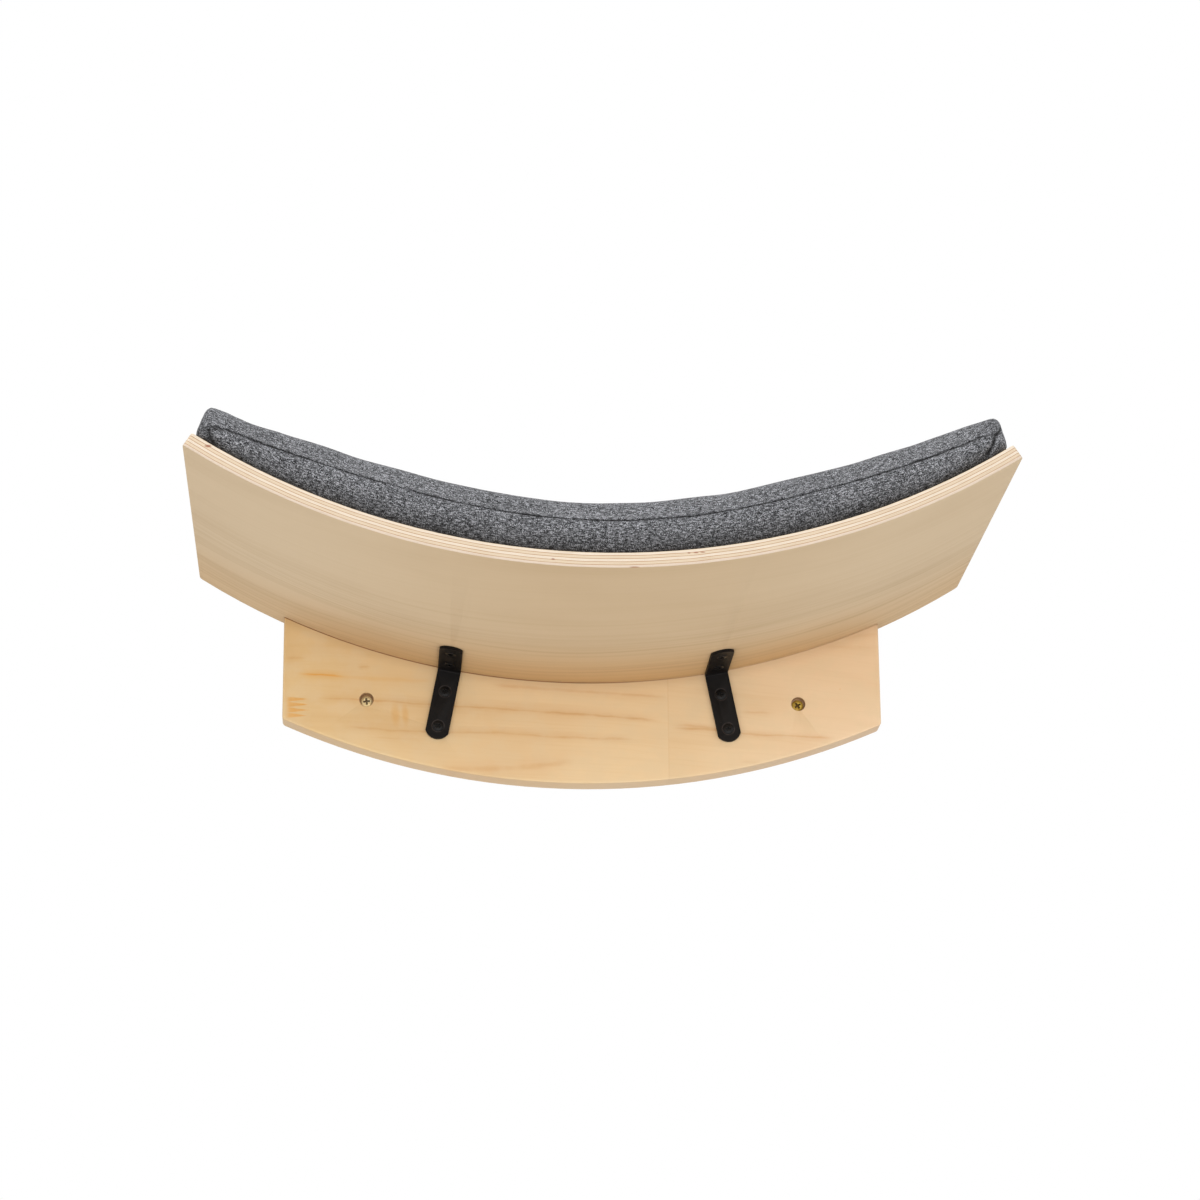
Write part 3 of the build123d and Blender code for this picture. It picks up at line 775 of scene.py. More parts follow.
def topPanelPlan(share, depth):
    # places of the top panel's grid before its corners are rounded
    c = cushionShape
    s, d = np.meshgrid(share, depth, indexing="ij")
    u = np.abs(s)
    closing = 1 - np.clip((u - c["endShare"]) / 0.022, 0, 1) ** c["endPower"]
    inward, upward, run = shoulderPlan(c["shoulderWidth"], c["shoulderRise"], c["shoulderPower"])
    rise = sectionShare(2, u) * c["shoulderRise"] * closing
    width = sectionShare(2, u) * c["shoulderWidth"] * (0.25 + 0.75 * closing)
    crown = sectionShare(3, u) * c["crownRise"] * closing
    seam = sectionShare(1, u) * c["seamHeight"]
    dips = [deep * np.exp(-((1 - u) * c["halfArc"] / reach) ** power) for deep, reach, power in c["cornerDip"]]
    dip = np.where(s < 0, *dips)
    seam = seam - dip * (d < 1.5) * np.exp(-(np.clip(d, 0, 1) * run[-1] / 16.0) ** 2)
    side = c["sideInset"] + sectionShare(4, u) * c["drawnIn"]
    half = c["halfDepth"] - side
    place = np.clip(np.where(d < 1, d, 3 - d), 0, 1) * run[-1]
    inside = width * np.interp(place, run, inward)
    across = np.where(d <= 1, -half + inside, np.where(d >= 2, half - inside, (half - width) * (2 * d - 3)))
    onShoulder = np.interp(place, run, upward)
    within = np.clip(np.abs(across) / (half - width), 0, 1)
    height = seam + rise * onShoulder + crown * (1 - within ** 2) * (d > 1) * (d < 2)
    return s, across, height, seam, half, place


def roundCorner(s, across, half):
    c = cushionShape
    r = c["cornerRadius"]
    arc = s * c["halfArc"]
    toEnd = np.clip(r - (c["halfArc"] - np.abs(arc)), 0, r) / r
    toSide = np.clip(r - (half - np.abs(across)), 0, r) / r
    newEnd = toEnd * np.sqrt(1 - toSide ** 2 / 2)
    newSide = toSide * np.sqrt(1 - toEnd ** 2 / 2)
    arc = arc - np.sign(arc) * (toEnd - newEnd) * r
    across = across - np.sign(across) * (toSide - newSide) * r
    reach = np.where(arc < 0, c["endReach"][0], c["endReach"][1])
    arc = arc + np.sign(arc) * reach * np.abs(s) ** 12
    return arc, across


def leanOf(arc):
    c = cushionShape
    share = np.clip(arc / c["halfArc"], -1, 1)
    ease = np.where(arc < 0, c["endLean"][0], c["endLean"][1])
    return arc / c["topRadius"] * (1 - ease * share ** 4)


def standOn(arc, across, height, outArc=0.0, outAcross=0.0):
    # points in metres from places on the bend
    c = cushionShape
    angle = arc / c["topRadius"]
    lean = leanOf(arc)
    radius = c["topRadius"] - c["clearance"]
    x = radius * np.sin(angle) - np.sin(lean) * height + np.cos(lean) * outArc
    z = bendHeight / mm - radius * np.cos(angle) + np.cos(lean) * height + np.sin(lean) * outArc
    y = across + outAcross - c["halfDepth"]
    return np.stack([x, y, z], -1) * mm


def ringOf(rows, columns):
    # indices round the border of a grid, front edge first, counterclockwise from above
    grid = np.arange(rows * columns).reshape(rows, columns)
    return np.concatenate([grid[:, 0], grid[-1, 1:], grid[-2::-1, -1], grid[0, -2:0:-1]])


def makeCover(fine):
    c = cushionShape
    near = (0.0, 0.3, 0.7, 1.2, 1.9, 2.9, 4.2, 5.8, 7.8, 10.0) if fine else (0.0, 4.0, 8.0)
    nearDepth = near + ((12.4, 15.0, 17.8, 20.5) if fine else (13.0, 18.0))
    share = lengthStations(1.75 if fine else 7.0, near)
    depth = depthStations(2.3 if fine else 7.0, nearDepth)
    s, across, height, seam, half, edgeRun = topPanelPlan(share, depth)
    rows, columns = s.shape
    arc, acrossTop = roundCorner(s, across, half)
    top = standOn(arc, acrossTop, height)
    ring = ringOf(rows, columns)

    # outward directions round the border
    ringArc, ringAcross, ringSeam = (values.ravel()[ring] for values in (arc, acrossTop, seam))
    forward = np.stack([np.roll(values, -1) - np.roll(values, 1) for values in (ringArc, ringAcross)], -1)
    forward /= np.maximum(np.linalg.norm(forward, axis=1, keepdims=True), 1e-9)
    outward = np.stack([forward[:, 1], -forward[:, 0]], -1)
    run = np.concatenate([[0], np.cumsum(np.hypot(np.diff(ringArc), np.diff(ringAcross)))])

    # boxing rows from the seam down to the rounded lower edge
    slotLow, slotHigh = c["slotHeights"]
    low = np.minimum(c["bottomRound"], 0.3 * ringSeam)
    high = np.minimum(slotHigh, ringSeam - 3.6)
    middle = np.minimum(slotLow, ringSeam * 0.42)
    if fine:
        fall = ringSeam - high
        downs = [down for down in (0.3, 0.7, 1.2, 1.9, 2.9, 4.3, 6.0) if down < fall.max() - 0.4]
        levels = [ringSeam - down * fall / fall.max() for down in downs]
        levels += [high + 0.2, high - 0.2]
        levels += [high + (middle - high) * part for part in (0.2, 0.4, 0.6, 0.8)]
        levels += [middle + 0.2, middle - 0.2]
        levels += [middle + (low - middle) * part for part in (0.5, 1.0)]
    else:
        levels = [ringSeam - 3.0, high, (high + middle) / 2, middle, low]
    return {"share": share, "depth": depth, "top": top, "arc": arc, "across": acrossTop, "half": half,
            "edgeRun": edgeRun, "ring": ring, "ringArc": ringArc, "ringAcross": ringAcross, "ringSeam": ringSeam,
            "outward": outward, "run": run, "levels": levels, "low": low, "s": s}


def coverPoints(cover, fine):
    # all points of the closed cover: top grid, boxing rows, rounded edge, bottom grid
    c = cushionShape
    ringArc, ringAcross, ringSeam = cover["ringArc"], cover["ringAcross"], cover["ringSeam"]
    outward = cover["outward"]
    pinched = np.exp(-((c["halfArc"] - np.abs(ringArc)) / 14.0) ** 2)
    bulge = np.abs(outward[:, 0]) * c["endBulge"] + np.abs(outward[:, 1]) * c["bulge"] * (1 - 0.8 * pinched)
    rows = []
    for level in cover["levels"]:
        v = np.clip(level / ringSeam, 0, 1)
        out = bulge * np.sin(np.pi * v ** 1.25)
        rows.append(standOn(ringArc, ringAcross, level, outward[:, 0] * out, outward[:, 1] * out))
    low = cover["low"]
    lowOut = bulge * np.sin(np.pi * (low / ringSeam) ** 1.25)
    for turn in ((30, 60) if fine else (45,)):
        back = low * (1 - math.cos(math.radians(turn)))
        rise = low * (1 - math.sin(math.radians(turn)))
        out = lowOut * (1 - turn / 90) - back
        rows.append(standOn(ringArc, ringAcross, rise, outward[:, 0] * out, outward[:, 1] * out))
    scaleArc = (c["halfArc"] - low.min()) / c["halfArc"]
    scaleAcross = (cover["half"] - low.max()) / cover["half"]
    floor = np.zeros_like(cover["arc"])
    for side in (-1, 1):
        gaps = np.abs(cover["arc"] - side * c["topRadius"] * math.radians(c["stripAngle"])), np.abs(cover["across"])
        spans = zip(c["stripHalf"], gaps)
        both = math.prod(np.clip((reach + c["stripMargin"] - gap) / 2.6, 0, 1) for reach, gap in spans)
        floor = np.maximum(floor, c["stripRecess"] * both * both * (3 - 2 * both))
    bottom = standOn(cover["arc"] * scaleArc, cover["across"] * scaleAcross, floor)
    return cover["top"].reshape(-1, 3), np.array(rows), bottom.reshape(-1, 3)


def coverFaces(rows, columns, ring, bandRows):
    grid = np.arange(rows * columns).reshape(rows, columns)
    quads = [np.stack([grid[:-1, :-1], grid[1:, :-1], grid[1:, 1:], grid[:-1, 1:]], -1).reshape(-1, 4)]
    topCount, ringCount = rows * columns, len(ring)
    bands = [ring] + [topCount + k * ringCount + np.arange(ringCount) for k in range(bandRows)]
    bottomStart = topCount + bandRows * ringCount
    bands.append(bottomStart + ring)
    for upper, lower in zip(bands, bands[1:]):
        quads.append(np.stack([upper, lower, np.roll(lower, -1), np.roll(upper, -1)], -1))
    grid = bottomStart + grid
    quads.append(np.stack([grid[:-1, :-1], grid[:-1, 1:], grid[1:, 1:], grid[1:, :-1]], -1).reshape(-1, 4))
    return quads, bands


def meshFrom(name, points, quads):
    data = bpy.data.meshes.new(name)
    data.vertices.add(len(points))
    data.vertices.foreach_set("co", np.asarray(points, np.float32).ravel())
    flat = np.asarray(quads, np.int32)
    data.loops.add(flat.size)
    data.loops.foreach_set("vertex_index", flat.ravel())
    data.polygons.add(len(flat))
    data.polygons.foreach_set("loop_start", np.arange(0, flat.size, 4, dtype=np.int32))
    data.polygons.foreach_set("use_smooth", np.ones(len(flat), bool))
    data.update(calc_edges=True)
    data.validate()
    return data


def spreadWeights(fineAt, coarseAt):
    # smooth weights that carry values from coarse stations to fine ones
    place = np.interp(fineAt, coarseAt, np.arange(len(coarseAt)))
    k = np.clip(place.astype(int), 0, len(coarseAt) - 2)
    t = place - k
    weights = np.zeros((len(fineAt), len(coarseAt)))
    cubic = (-0.5 * t + t ** 2 - 0.5 * t ** 3, 1 - 2.5 * t ** 2 + 1.5 * t ** 3,
             0.5 * t + 2 * t ** 2 - 1.5 * t ** 3, -0.5 * t ** 2 + 0.5 * t ** 3)
    for offset, weight in zip((-1, 0, 1, 2), cubic):
        np.add.at(weights, (np.arange(len(fineAt)), np.clip(k + offset, 0, len(coarseAt) - 1)), weight)
    return weights


plumpness = {
    "frames": 20,
    "cap": 2.2,  # most that a point moves, in millimetres
    "share": 0.8,
    "cloth": {"quality": 6, "mass": 0.25, "tension_stiffness": 18, "compression_stiffness": 12,
              "bending_stiffness": 0.6, "shrink_min": -0.012, "use_pressure": True, "uniform_pressure_force": 3.0},
}


def plumpUp(cover):
    # cloth run on a coarse copy of the cover; gives each coarse point's move
    rows, columns = cover["s"].shape
    top, bands, bottom = coverPoints(cover, False)
    quads, _ = coverFaces(rows, columns, cover["ring"], len(bands))
    points = np.concatenate([top, bands.reshape(-1, 3), bottom])
    cloth = addObject("coverCloth", meshFrom("coverCloth", points, np.concatenate(quads)))
    pinned = cloth.vertex_groups.new(name="held")
    pinned.add([int(i) for i in range(len(points) - len(bottom), len(points))], 1.0, "REPLACE")
    pinned.add([int(i) for i in cover["ring"]], 0.25, "REPLACE")
    modifier = cloth.modifiers.new("Cloth", "CLOTH")
    for name, value in plumpness["cloth"].items():
        setattr(modifier.settings, name, value)
    modifier.settings.vertex_group_mass = "held"
    modifier.settings.effector_weights.gravity = 0
    modifier.collision_settings.use_collision = False
    modifier.point_cache.frame_start = 1
    modifier.point_cache.frame_end = plumpness["frames"]
    for number in range(1, plumpness["frames"] + 1):
        scene.frame_set(number)
    after = cloth.evaluated_get(bpy.context.evaluated_depsgraph_get()).to_mesh()
    moved = np.zeros(len(points) * 3, np.float32)
    after.vertices.foreach_get("co", moved)
    moves = (moved.reshape(-1, 3) - points) / mm
    scene.frame_set(1)
    bpy.data.objects.remove(cloth)
    length = np.linalg.norm(moves, axis=1, keepdims=True)
    cap = plumpness["cap"]
    moves = moves * (cap * np.tanh(length / cap) / np.maximum(length, 1e-9)) * plumpness["share"]
    onTop, onBands, _ = np.split(moves, [len(top), len(points) - len(bottom)])
    return onTop.reshape(rows, columns, 3), onBands.reshape(bands.shape)


def foldAt(arc, level, line, depth, width, darkWidth, dark):
    # how far a crease in the boxing presses in at a place, and how strong its painted shade is there
    (startArc, startLevel), (endArc, endLevel) = line
    along = np.array([endArc - startArc, endLevel - startLevel])
    length = np.hypot(*along)
    along = along / length
    relArc, relLevel = arc - startArc, level - startLevel
    t = np.clip((relArc * along[0] + relLevel * along[1]) / length, 0, 1)
    off = np.hypot(relArc - t * length * along[0], relLevel - t * length * along[1])
    strength = np.sin(np.pi * (0.3 + 0.4 * t))
    return depth * np.exp(-(off / width) ** 2) * strength, dark * np.exp(-(off / darkWidth) ** 2) * strength


cornerFolds = [  # places on the front face, how deep and wide, how wide and strong its shade is
    ([(252.0, 14.4), (247.5, 9.3)], 1.9, 1.1, 0.95, 1.35),
    ([(247.5, 9.3), (240.6, 3.6)], 1.6, 1.2, 1.0, 1.3),
    ([(-249.0, 7.6), (-243.6, 1.6)], 1.5, 1.7, 1.9, 0.95),
    ([(-243.0, 12.3), (-250.4, 9.0)], 0.5, 1.0, 0.6, 0.75),
    ([(-238.0, 13.0), (-233.5, 8.0)], 0.45, 1.5, 0.9, 0.3),
    ([(-222.0, 15.5), (-216.0, 11.0)], 0.3, 1.6, 0.9, 0.2),
]
shoulderFold = ([(251.8, 0.0), (254.7, 4.8)], 0.5, 0.8, 0.75, 1.3)  # goes on over the right corner, above the seam


def tipFade(arc):
    return 1 - 0.75 * np.clip((arc - 252.0) / 1.5, 0, 1)


def runAlong(grid, axis):
    steps = np.linalg.norm(np.diff(grid, axis=axis), axis=2)
    start = np.zeros_like(steps.take([0], axis=axis))
    return np.concatenate([start, np.cumsum(steps, axis=axis)], axis=axis)


def sewCushion():
    c = cushionShape
    cover = makeCover(True)
    rows, columns = cover["s"].shape
    top, bands, bottom = coverPoints(cover, True)
    top = top.reshape(rows, columns, 3)
    ring, ringCount = cover["ring"], len(cover["ring"])

    coarse = makeCover(False)
    topMoves, bandMoves = plumpUp(coarse)
    byLength = spreadWeights(cover["share"], coarse["share"])
    byDepth = spreadWeights(cover["depth"], coarse["depth"])
    moves = np.einsum("ia,jb,abk->ijk", byLength, byDepth, topMoves, optimize=True)
    fade = 1 - np.exp(-(cover["edgeRun"] / 2.5) ** 2)
    top = top + moves * fade[..., None] * mm
    ringPlace = cover["run"] / (cover["run"][-1] + 1.0)
    coarsePlace = coarse["run"] / (coarse["run"][-1] + 1.0)
    around = spreadWeights(ringPlace, coarsePlace)
    coarseV = np.array([0.1, 0.25, 0.42, 0.62, 0.86])
    bandCoarse = np.array([around @ row for row in bandMoves])[: len(coarseV)][::-1]
    for k, level in enumerate(cover["levels"]):
        v = np.clip(level / cover["ringSeam"], 0.1, 0.86)
        place = np.interp(v, coarseV, np.arange(len(coarseV)))
        j = np.clip(place.astype(int), 0, len(coarseV) - 2)
        t = (place - j)[:, None]
        each = np.arange(ringCount)
        move = bandCoarse[j, each] * (1 - t) + bandCoarse[j + 1, each] * t
        edge = np.clip(4 * v * (1 - v), 0, 1)[:, None]
        bands[k] += move * edge * mm
    print("cover plumped up as cloth, up to", round(float(np.abs(topMoves).max()), 2), "mm")

    # undulations, puckers and the seam's groove on the top panel
    arc, across, run, outward = cover["arc"], cover["across"], cover["run"], cover["outward"]
    ringArc, ringSeam = cover["ringArc"], cover["ringSeam"]
    lean = leanOf(ringArc)
    outward3 = np.stack([outward[:, 0] * np.cos(lean), outward[:, 1], outward[:, 0] * np.sin(lean)], -1)
    up3 = np.stack([-np.sin(lean), np.zeros_like(lean), np.cos(lean)], -1)
    lengthRun = runAlong(top, 0) / mm
    depthRun = runAlong(top, 1) / mm
    toSide = np.minimum(depthRun, depthRun[:, -1:] - depthRun)
    toEnd = np.minimum(lengthRun, lengthRun[-1:] - lengthRun)
    seamRun = np.minimum(toSide, toEnd)
    swell = patchRipple(arc, across, (64.0, 47.0, 81.0, 39.0), 4) * 0.5 * np.clip(seamRun / 20, 0, 1)
    pucker = patchRipple(arc, across, c["puckers"], 9) * 0.2 * np.exp(-seamRun / 4.0) * (1 - np.exp(-seamRun))
    outGrid = np.zeros((rows * columns, 3))
    outGrid[ring] = outward3
    outGrid = outGrid.reshape(rows, columns, 3)
    aways = depthRun, depthRun[:, -1:] - depthRun, lengthRun, lengthRun[-1:] - lengthRun
    nearness = [1 / (away + 0.3) ** 3 for away in aways]
    borders = outGrid[:, :1], outGrid[:, -1:], outGrid[:1], outGrid[-1:]
    outGrid = sum(weight[..., None] * border for weight, border in zip(nearness, borders)) / sum(nearness)[..., None]
    atEnd = np.clip(np.abs(outGrid[..., 0]), 0, 1)
    groove = c["seamDepth"] * np.exp(-(seamRun / c["seamWidth"]) ** 2) * (1 - 0.7 * atEnd)
    lip = 0.12 * np.exp(-((seamRun - 2.0) / 1.2) ** 2) * (1 - 0.8 * atEnd)
    normal = np.cross(np.gradient(top, axis=0), np.gradient(top, axis=1))
    normal /= np.maximum(np.linalg.norm(normal, axis=2, keepdims=True), 1e-12)
    press = foldAt(arc, depthRun, *shoulderFold)[0]
    top = top + (normal * (swell + pucker + lip - press)[..., None] - outGrid * groove[..., None]) * mm

    # the same on the boxing, and its folds
    seamSway = ripple(run, (33.0, 51.0, 23.0), 21) * 0.32
    ringPucker = ripple(run, c["puckers"], 33) * 0.25
    bandCrease, bandTuck, bandFold = [], [], []
    lowRows = [cover["low"] * (1 - math.sin(math.radians(turn))) for turn in (30, 60)]
    ease = 1 - 0.7 * np.abs(outward[:, 0])
    onFront = outward[:, 1] < -0.2
    for k, level in enumerate(cover["levels"] + lowRows):
        below = ringSeam - level
        bandLip = 0.12 * np.exp(-((below - 2.0) / 1.2) ** 2)
        push = ease * (bandLip - c["seamDepth"] * np.exp(-(below / c["seamWidth"]) ** 2))
        push += ringPucker * np.exp(-below / 4.0) * (1 - np.exp(-below))
        push += 0.35 * ripple(run + 3 * k, (44.0, 61.0, 29.0), 12) * np.clip(level / ringSeam, 0, 1)
        folded = np.zeros(ringCount)
        for fold in cornerFolds:
            press, dark = foldAt(ringArc, level, *fold)
            push -= onFront * press
            folded = np.maximum(folded, onFront * np.clip(dark, 0, 1))
        # painted shade along the seam and along the corner folds
        bandCrease.append(np.exp(-(below / 0.72) ** 2) * ease * tipFade(ringArc))
        bandFold.append(folded)
        # painted shade: darker towards the board at the foot of the boxing, and more at the left end
        tuck = np.clip(1 - level / (0.66 * ringSeam), 0, 1) ** 1.2 * (0.4 + 0.6 * np.abs(outward[:, 1]))
        leftEnd = 0.42 * np.exp(-((ringArc + 256) / 7.0) ** 2) * (outward[:, 1] < 0.5)
        bandTuck.append(np.clip(tuck + leftEnd, 0, 1))
        bands[k] += outward3 * push[:, None] * mm
        bands[k] += up3 * (seamSway * np.exp(-below / 5.0))[:, None] * mm
    ringSet = top.reshape(-1, 3)
    ringSet[ring] += up3 * seamSway[:, None] * mm

    # zipper slot in the back
    slotLow, slotHigh = c["slotHeights"]
    onBack = (outward[:, 1] > 0.9) & (np.abs(np.degrees(ringArc / c["topRadius"])) < c["slotHalfAngle"] + 0.05)
    for k, level in enumerate(cover["levels"]):
        inSlot = onBack & (level < slotHigh) & (level > slotLow)
        bands[k][inSlot, 1] = -c["slotFloor"] * mm

    quads, _ = coverFaces(rows, columns, ring, len(bands))
    points = np.concatenate([ringSet, bands.reshape(-1, 3), bottom])
    data = meshFrom("catCushion", points, np.concatenate(quads))

    # cloth map in metres: along and across on the panels, round and up on the boxing
    middle = columns // 2
    fromFront = depthRun - depthRun[:, middle:middle + 1]
    topMap = np.stack([np.repeat(lengthRun[:, middle:middle + 1], columns, 1).ravel(), fromFront.ravel()], -1) * mm
    bottomMap = np.stack([arc.ravel(), across.ravel()], -1) * mm + 2.0
    loopVertex = np.concatenate([q.ravel() for q in quads])
    uv = np.zeros((len(loopVertex), 2))
    start = quads[0].size
    uv[:start] = topMap[loopVertex[:start]]
    closeStep = np.hypot(ringArc[0] - ringArc[-1], cover["ringAcross"][0] - cover["ringAcross"][-1])
    nextRun = np.concatenate([run[1:], [run[-1] + closeStep]])
    heights = [ringSeam, *cover["levels"], *(cover["low"] * (1 - math.radians(turn)) for turn in (30, 60, 90))]
    for upper, lower in zip(heights, heights[1:]):
        corners = (run, upper), (run, lower), (nextRun, np.roll(lower, -1)), (nextRun, np.roll(upper, -1))
        block = np.stack([np.stack(corner, -1) for corner in corners], 1)
        uv[start:start + ringCount * 4] = block.reshape(-1, 2) * mm + 1.0
        start += ringCount * 4
    uv[start:] = bottomMap[loopVertex[start:] - (len(points) - rows * columns)]
    rest = len(points) - rows * columns - len(bandCrease) * ringCount
    # painted shade along the top panel's seam and corner fold, and full painted shade over the whole bottom panel
    topCrease = np.exp(-(seamRun / 0.72) ** 2) * (1 - 0.7 * atEnd) * tipFade(arc)
    flat = np.zeros_like(seamRun)
    topFold = np.clip(foldAt(arc, depthRun, *shoulderFold)[1], 0, 1)
    shades = {"creaseShade": (topCrease, bandCrease, 0.0), "tuckedShade": (flat, bandTuck, 1.0),
              "foldShade": (topFold, bandFold, 0.0)}
    for title, (onTop, onBands, onRest) in shades.items():
        shade = data.attributes.new(title, "FLOAT", "POINT")
        values = np.concatenate([onTop.ravel(), np.concatenate(onBands), np.full(rest, onRest)])
        shade.data.foreach_set("value", values.astype(np.float32))
    layer = data.uv_layers.new(name="clothMetres")
    layer.data.foreach_set("uv", uv.astype(np.float32).ravel())
    data.materials.append(finishes["cover_fabric"])
    cushion = addObject("catCushion", data)
    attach(cushion, "cushion")
    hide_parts("cushion_top_panel", "cushion_boxing", "cushion_bottom_panel", "foam_core")
    print("cushion sewn,", len(data.polygons), "faces")


sewCushion()


# Geometry node helpers


def newTree(name, sizes):
    tree = bpy.data.node_groups.new(name, "GeometryNodeTree")
    tree.is_modifier = True
    tree.interface.new_socket("Geometry", in_out="INPUT", socket_type="NodeSocketGeometry")
    for label, value in sizes.items():
        kind = "Material" if value is None else "Int" if isinstance(value, int) else "Float"
        socket = tree.interface.new_socket(label, in_out="INPUT", socket_type=f"NodeSocket{kind}")
        if value is not None:
            socket.default_value = value
    tree.interface.new_socket("Geometry", in_out="OUTPUT", socket_type="NodeSocketGeometry")
    given = put(tree, "NodeGroupInput")
    return tree, {socket.name: Signal(socket) for socket in given.outputs if socket.name}


def closeTree(tree, geometry, material):
    real = get(tree, "GeometryNodeRealizeInstances", {"Geometry": geometry})
    painted = get(tree, "GeometryNodeSetMaterial", {"Geometry": real, "Material": material})
    put(tree, "NodeGroupOutput", {0: painted})
    return tree


def shift(geometry, up, **turned):
    inputs = {"Geometry": geometry, "Translation": axes(0.0, 0.0, up), **turned}
    return get(geometry.tree, "GeometryNodeTransform", inputs)


def tube(path, sides, radius):
    ring = get(path.tree, "GeometryNodeCurvePrimitiveCircle", {"Resolution": sides, "Radius": radius})
    return get(path.tree, "GeometryNodeCurveToMesh", {"Curve": path, "Profile Curve": ring, "Fill Caps": True})


def aim(facing):
    return get(facing.tree, "FunctionNodeAlignRotationToVector", {"Vector": facing}, axis="Z")


def aimAndSpin(facing, angle):
    own = get(facing.tree, "FunctionNodeAxisAngleToRotation", {"Axis": (0.0, 0.0, 1.0), "Angle": angle})
    turn = {"Rotation": aim(facing), "Rotate By": own}
    return get(facing.tree, "FunctionNodeRotateRotation", turn, rotation_space="LOCAL")


def scatter(points, piece, rotation):
    return get(points.tree, "GeometryNodeInstanceOnPoints", {"Points": points, "Instance": piece, "Rotation": rotation})


def bendOver(geometry, radius, angle, y, height):
    x = radius * calc("SINE", angle)
    z = height - radius * calc("COSINE", angle)
    return get(geometry.tree, "GeometryNodeSetPosition", {"Geometry": geometry, "Position": axes(x, y, z)})


def grow(name, tree, data, sizes, sharp=None):
    seed = addObject(name + "Seed", data)
    modifier = seed.modifiers.new("Grow", "NODES")
    modifier.node_group = tree
    for item in tree.interface.items_tree:
        if item.item_type == "SOCKET" and item.in_out == "INPUT" and item.name in sizes:
            modifier[item.identifier] = sizes[item.name]
    bpy.context.view_layer.update()
    view = bpy.context.evaluated_depsgraph_get()
    mesh = bpy.data.meshes.new_from_object(seed.evaluated_get(view), preserve_all_data_layers=True, depsgraph=view)
    bpy.data.objects.remove(seed)
    mesh.name = name
    mesh.polygons.foreach_set("use_smooth", np.ones(len(mesh.polygons), bool))
    if sharp is not None:
        mesh.set_sharp_from_angle(angle=math.radians(sharp))
    return addObject(name, mesh)


def bendPoint(radius, angle, y):
    return Vector((radius * math.sin(angle), y, bendHeight - radius * math.cos(angle)))


# Screws: one tree makes a countersunk cross-head screw at each marked seat

shelfScrew = {"Head Radius": 0.0034, "Core Radius": 0.00115, "Thread Radius": 0.0015, "Length": 0.008,
              "Neck Length": 0.002, "Point": 0.003, "Turns": 3.0, "Pitch": 0.0011,
              "Slot Span": 0.0034, "Slot Width": 0.0008, "Slot Depth": 0.0012}
screwKinds = {
    "shelfScrews": shelfScrew,
    "plateScrews": {**shelfScrew, "Length": 0.012, "Turns": 6.0, "Pitch": 0.0012},
    "wallScrews": {"Head Radius": 0.0038, "Core Radius": 0.00145, "Thread Radius": 0.0020, "Length": 0.045,
                   "Neck Length": 0.0108, "Point": 0.005, "Turns": 16.0, "Pitch": 0.0018,
                   "Slot Span": 0.0044, "Slot Width": 0.0013, "Slot Depth": 0.0018},
}


def screwTree():
    tree, given = newTree("crossHeadScrew", {**screwKinds["wallScrews"], "Finish": None})
    headRadius, coreRadius, length = given["Head Radius"], given["Core Radius"], given["Length"]

    def cone(low, high, depth, base, sides=28):
        made = get(tree, "GeometryNodeMeshCone", {"Vertices": sides, "Side Segments": 1, "Fill Segments": 1,
                                                  "Radius Top": high, "Radius Bottom": low, "Depth": depth})
        return shift(made, base)

    def combine(operation, *pieces, **first):
        made = put(tree, "GeometryNodeMeshBoolean", first, operation=operation, solver="EXACT")
        for piece in pieces:
            fill(made, {"Mesh 2": piece})
        return Signal(made.outputs[0])

    headDepth = headRadius - coreRadius
    crown = cone(headRadius, headRadius * 0.86, 0.00028, 0.0002)
    rim = cone(headRadius, headRadius, 0.0002, 0.0)
    sink = cone(coreRadius, headRadius, headDepth, headDepth * -1.0)
    whole = combine("UNION", crown, rim, sink)
    cross = put(tree, "GeometryNodeJoinGeometry")
    spans = given["Slot Span"], given["Slot Width"]
    for wide, deep in (spans, spans[::-1]):
        bar = get(tree, "GeometryNodeMeshCube", {"Size": axes(wide, deep, given["Slot Depth"] * 2.0)})
        fill(cross, {0: shift(bar, 0.00048)})
    recess = combine("UNION", Signal(cross.outputs[0]))
    slotted = combine("DIFFERENCE", recess, **{"Mesh 1": whole})

    shaftLength = length - given["Point"]
    core = cone(coreRadius, coreRadius, shaftLength - headDepth * 0.9, shaftLength * -1.0, 20)
    tip = cone(0.00004, coreRadius, given["Point"], length * -1.0, 20)
    helix = get(tree, "GeometryNodeCurveSpiral", {
        "Resolution": 20, "Rotations": given["Turns"], "Start Radius": coreRadius, "End Radius": coreRadius,
        "Height": given["Turns"] * given["Pitch"]})
    thread = tube(shift(helix, shaftLength * -1.0), 4, given["Thread Radius"] - coreRadius)
    screw = put(tree, "GeometryNodeJoinGeometry")
    for piece in (slotted, core, tip, thread):
        fill(screw, {0: piece})

    facing = get(tree, "GeometryNodeInputNamedAttribute", {"Name": "facing"}, data_type="FLOAT_VECTOR")
    spin = get(tree, "GeometryNodeInputNamedAttribute", {"Name": "spin"}, data_type="FLOAT")
    placed = scatter(given["Geometry"], Signal(screw.outputs[0]), aimAndSpin(facing, spin))
    return closeTree(tree, placed, given["Finish"])


def seatPoints(name, seats):
    data = bpy.data.meshes.new(name)
    data.from_pydata([seat[0] for seat in seats], [], [])
    facing = data.attributes.new("facing", "FLOAT_VECTOR", "POINT")
    facing.data.foreach_set("vector", np.array([seat[1] for seat in seats], np.float32).ravel())
    spin = data.attributes.new("spin", "FLOAT", "POINT")
    spin.data.foreach_set("value", np.array([seat[2] for seat in seats], np.float32))
    return data


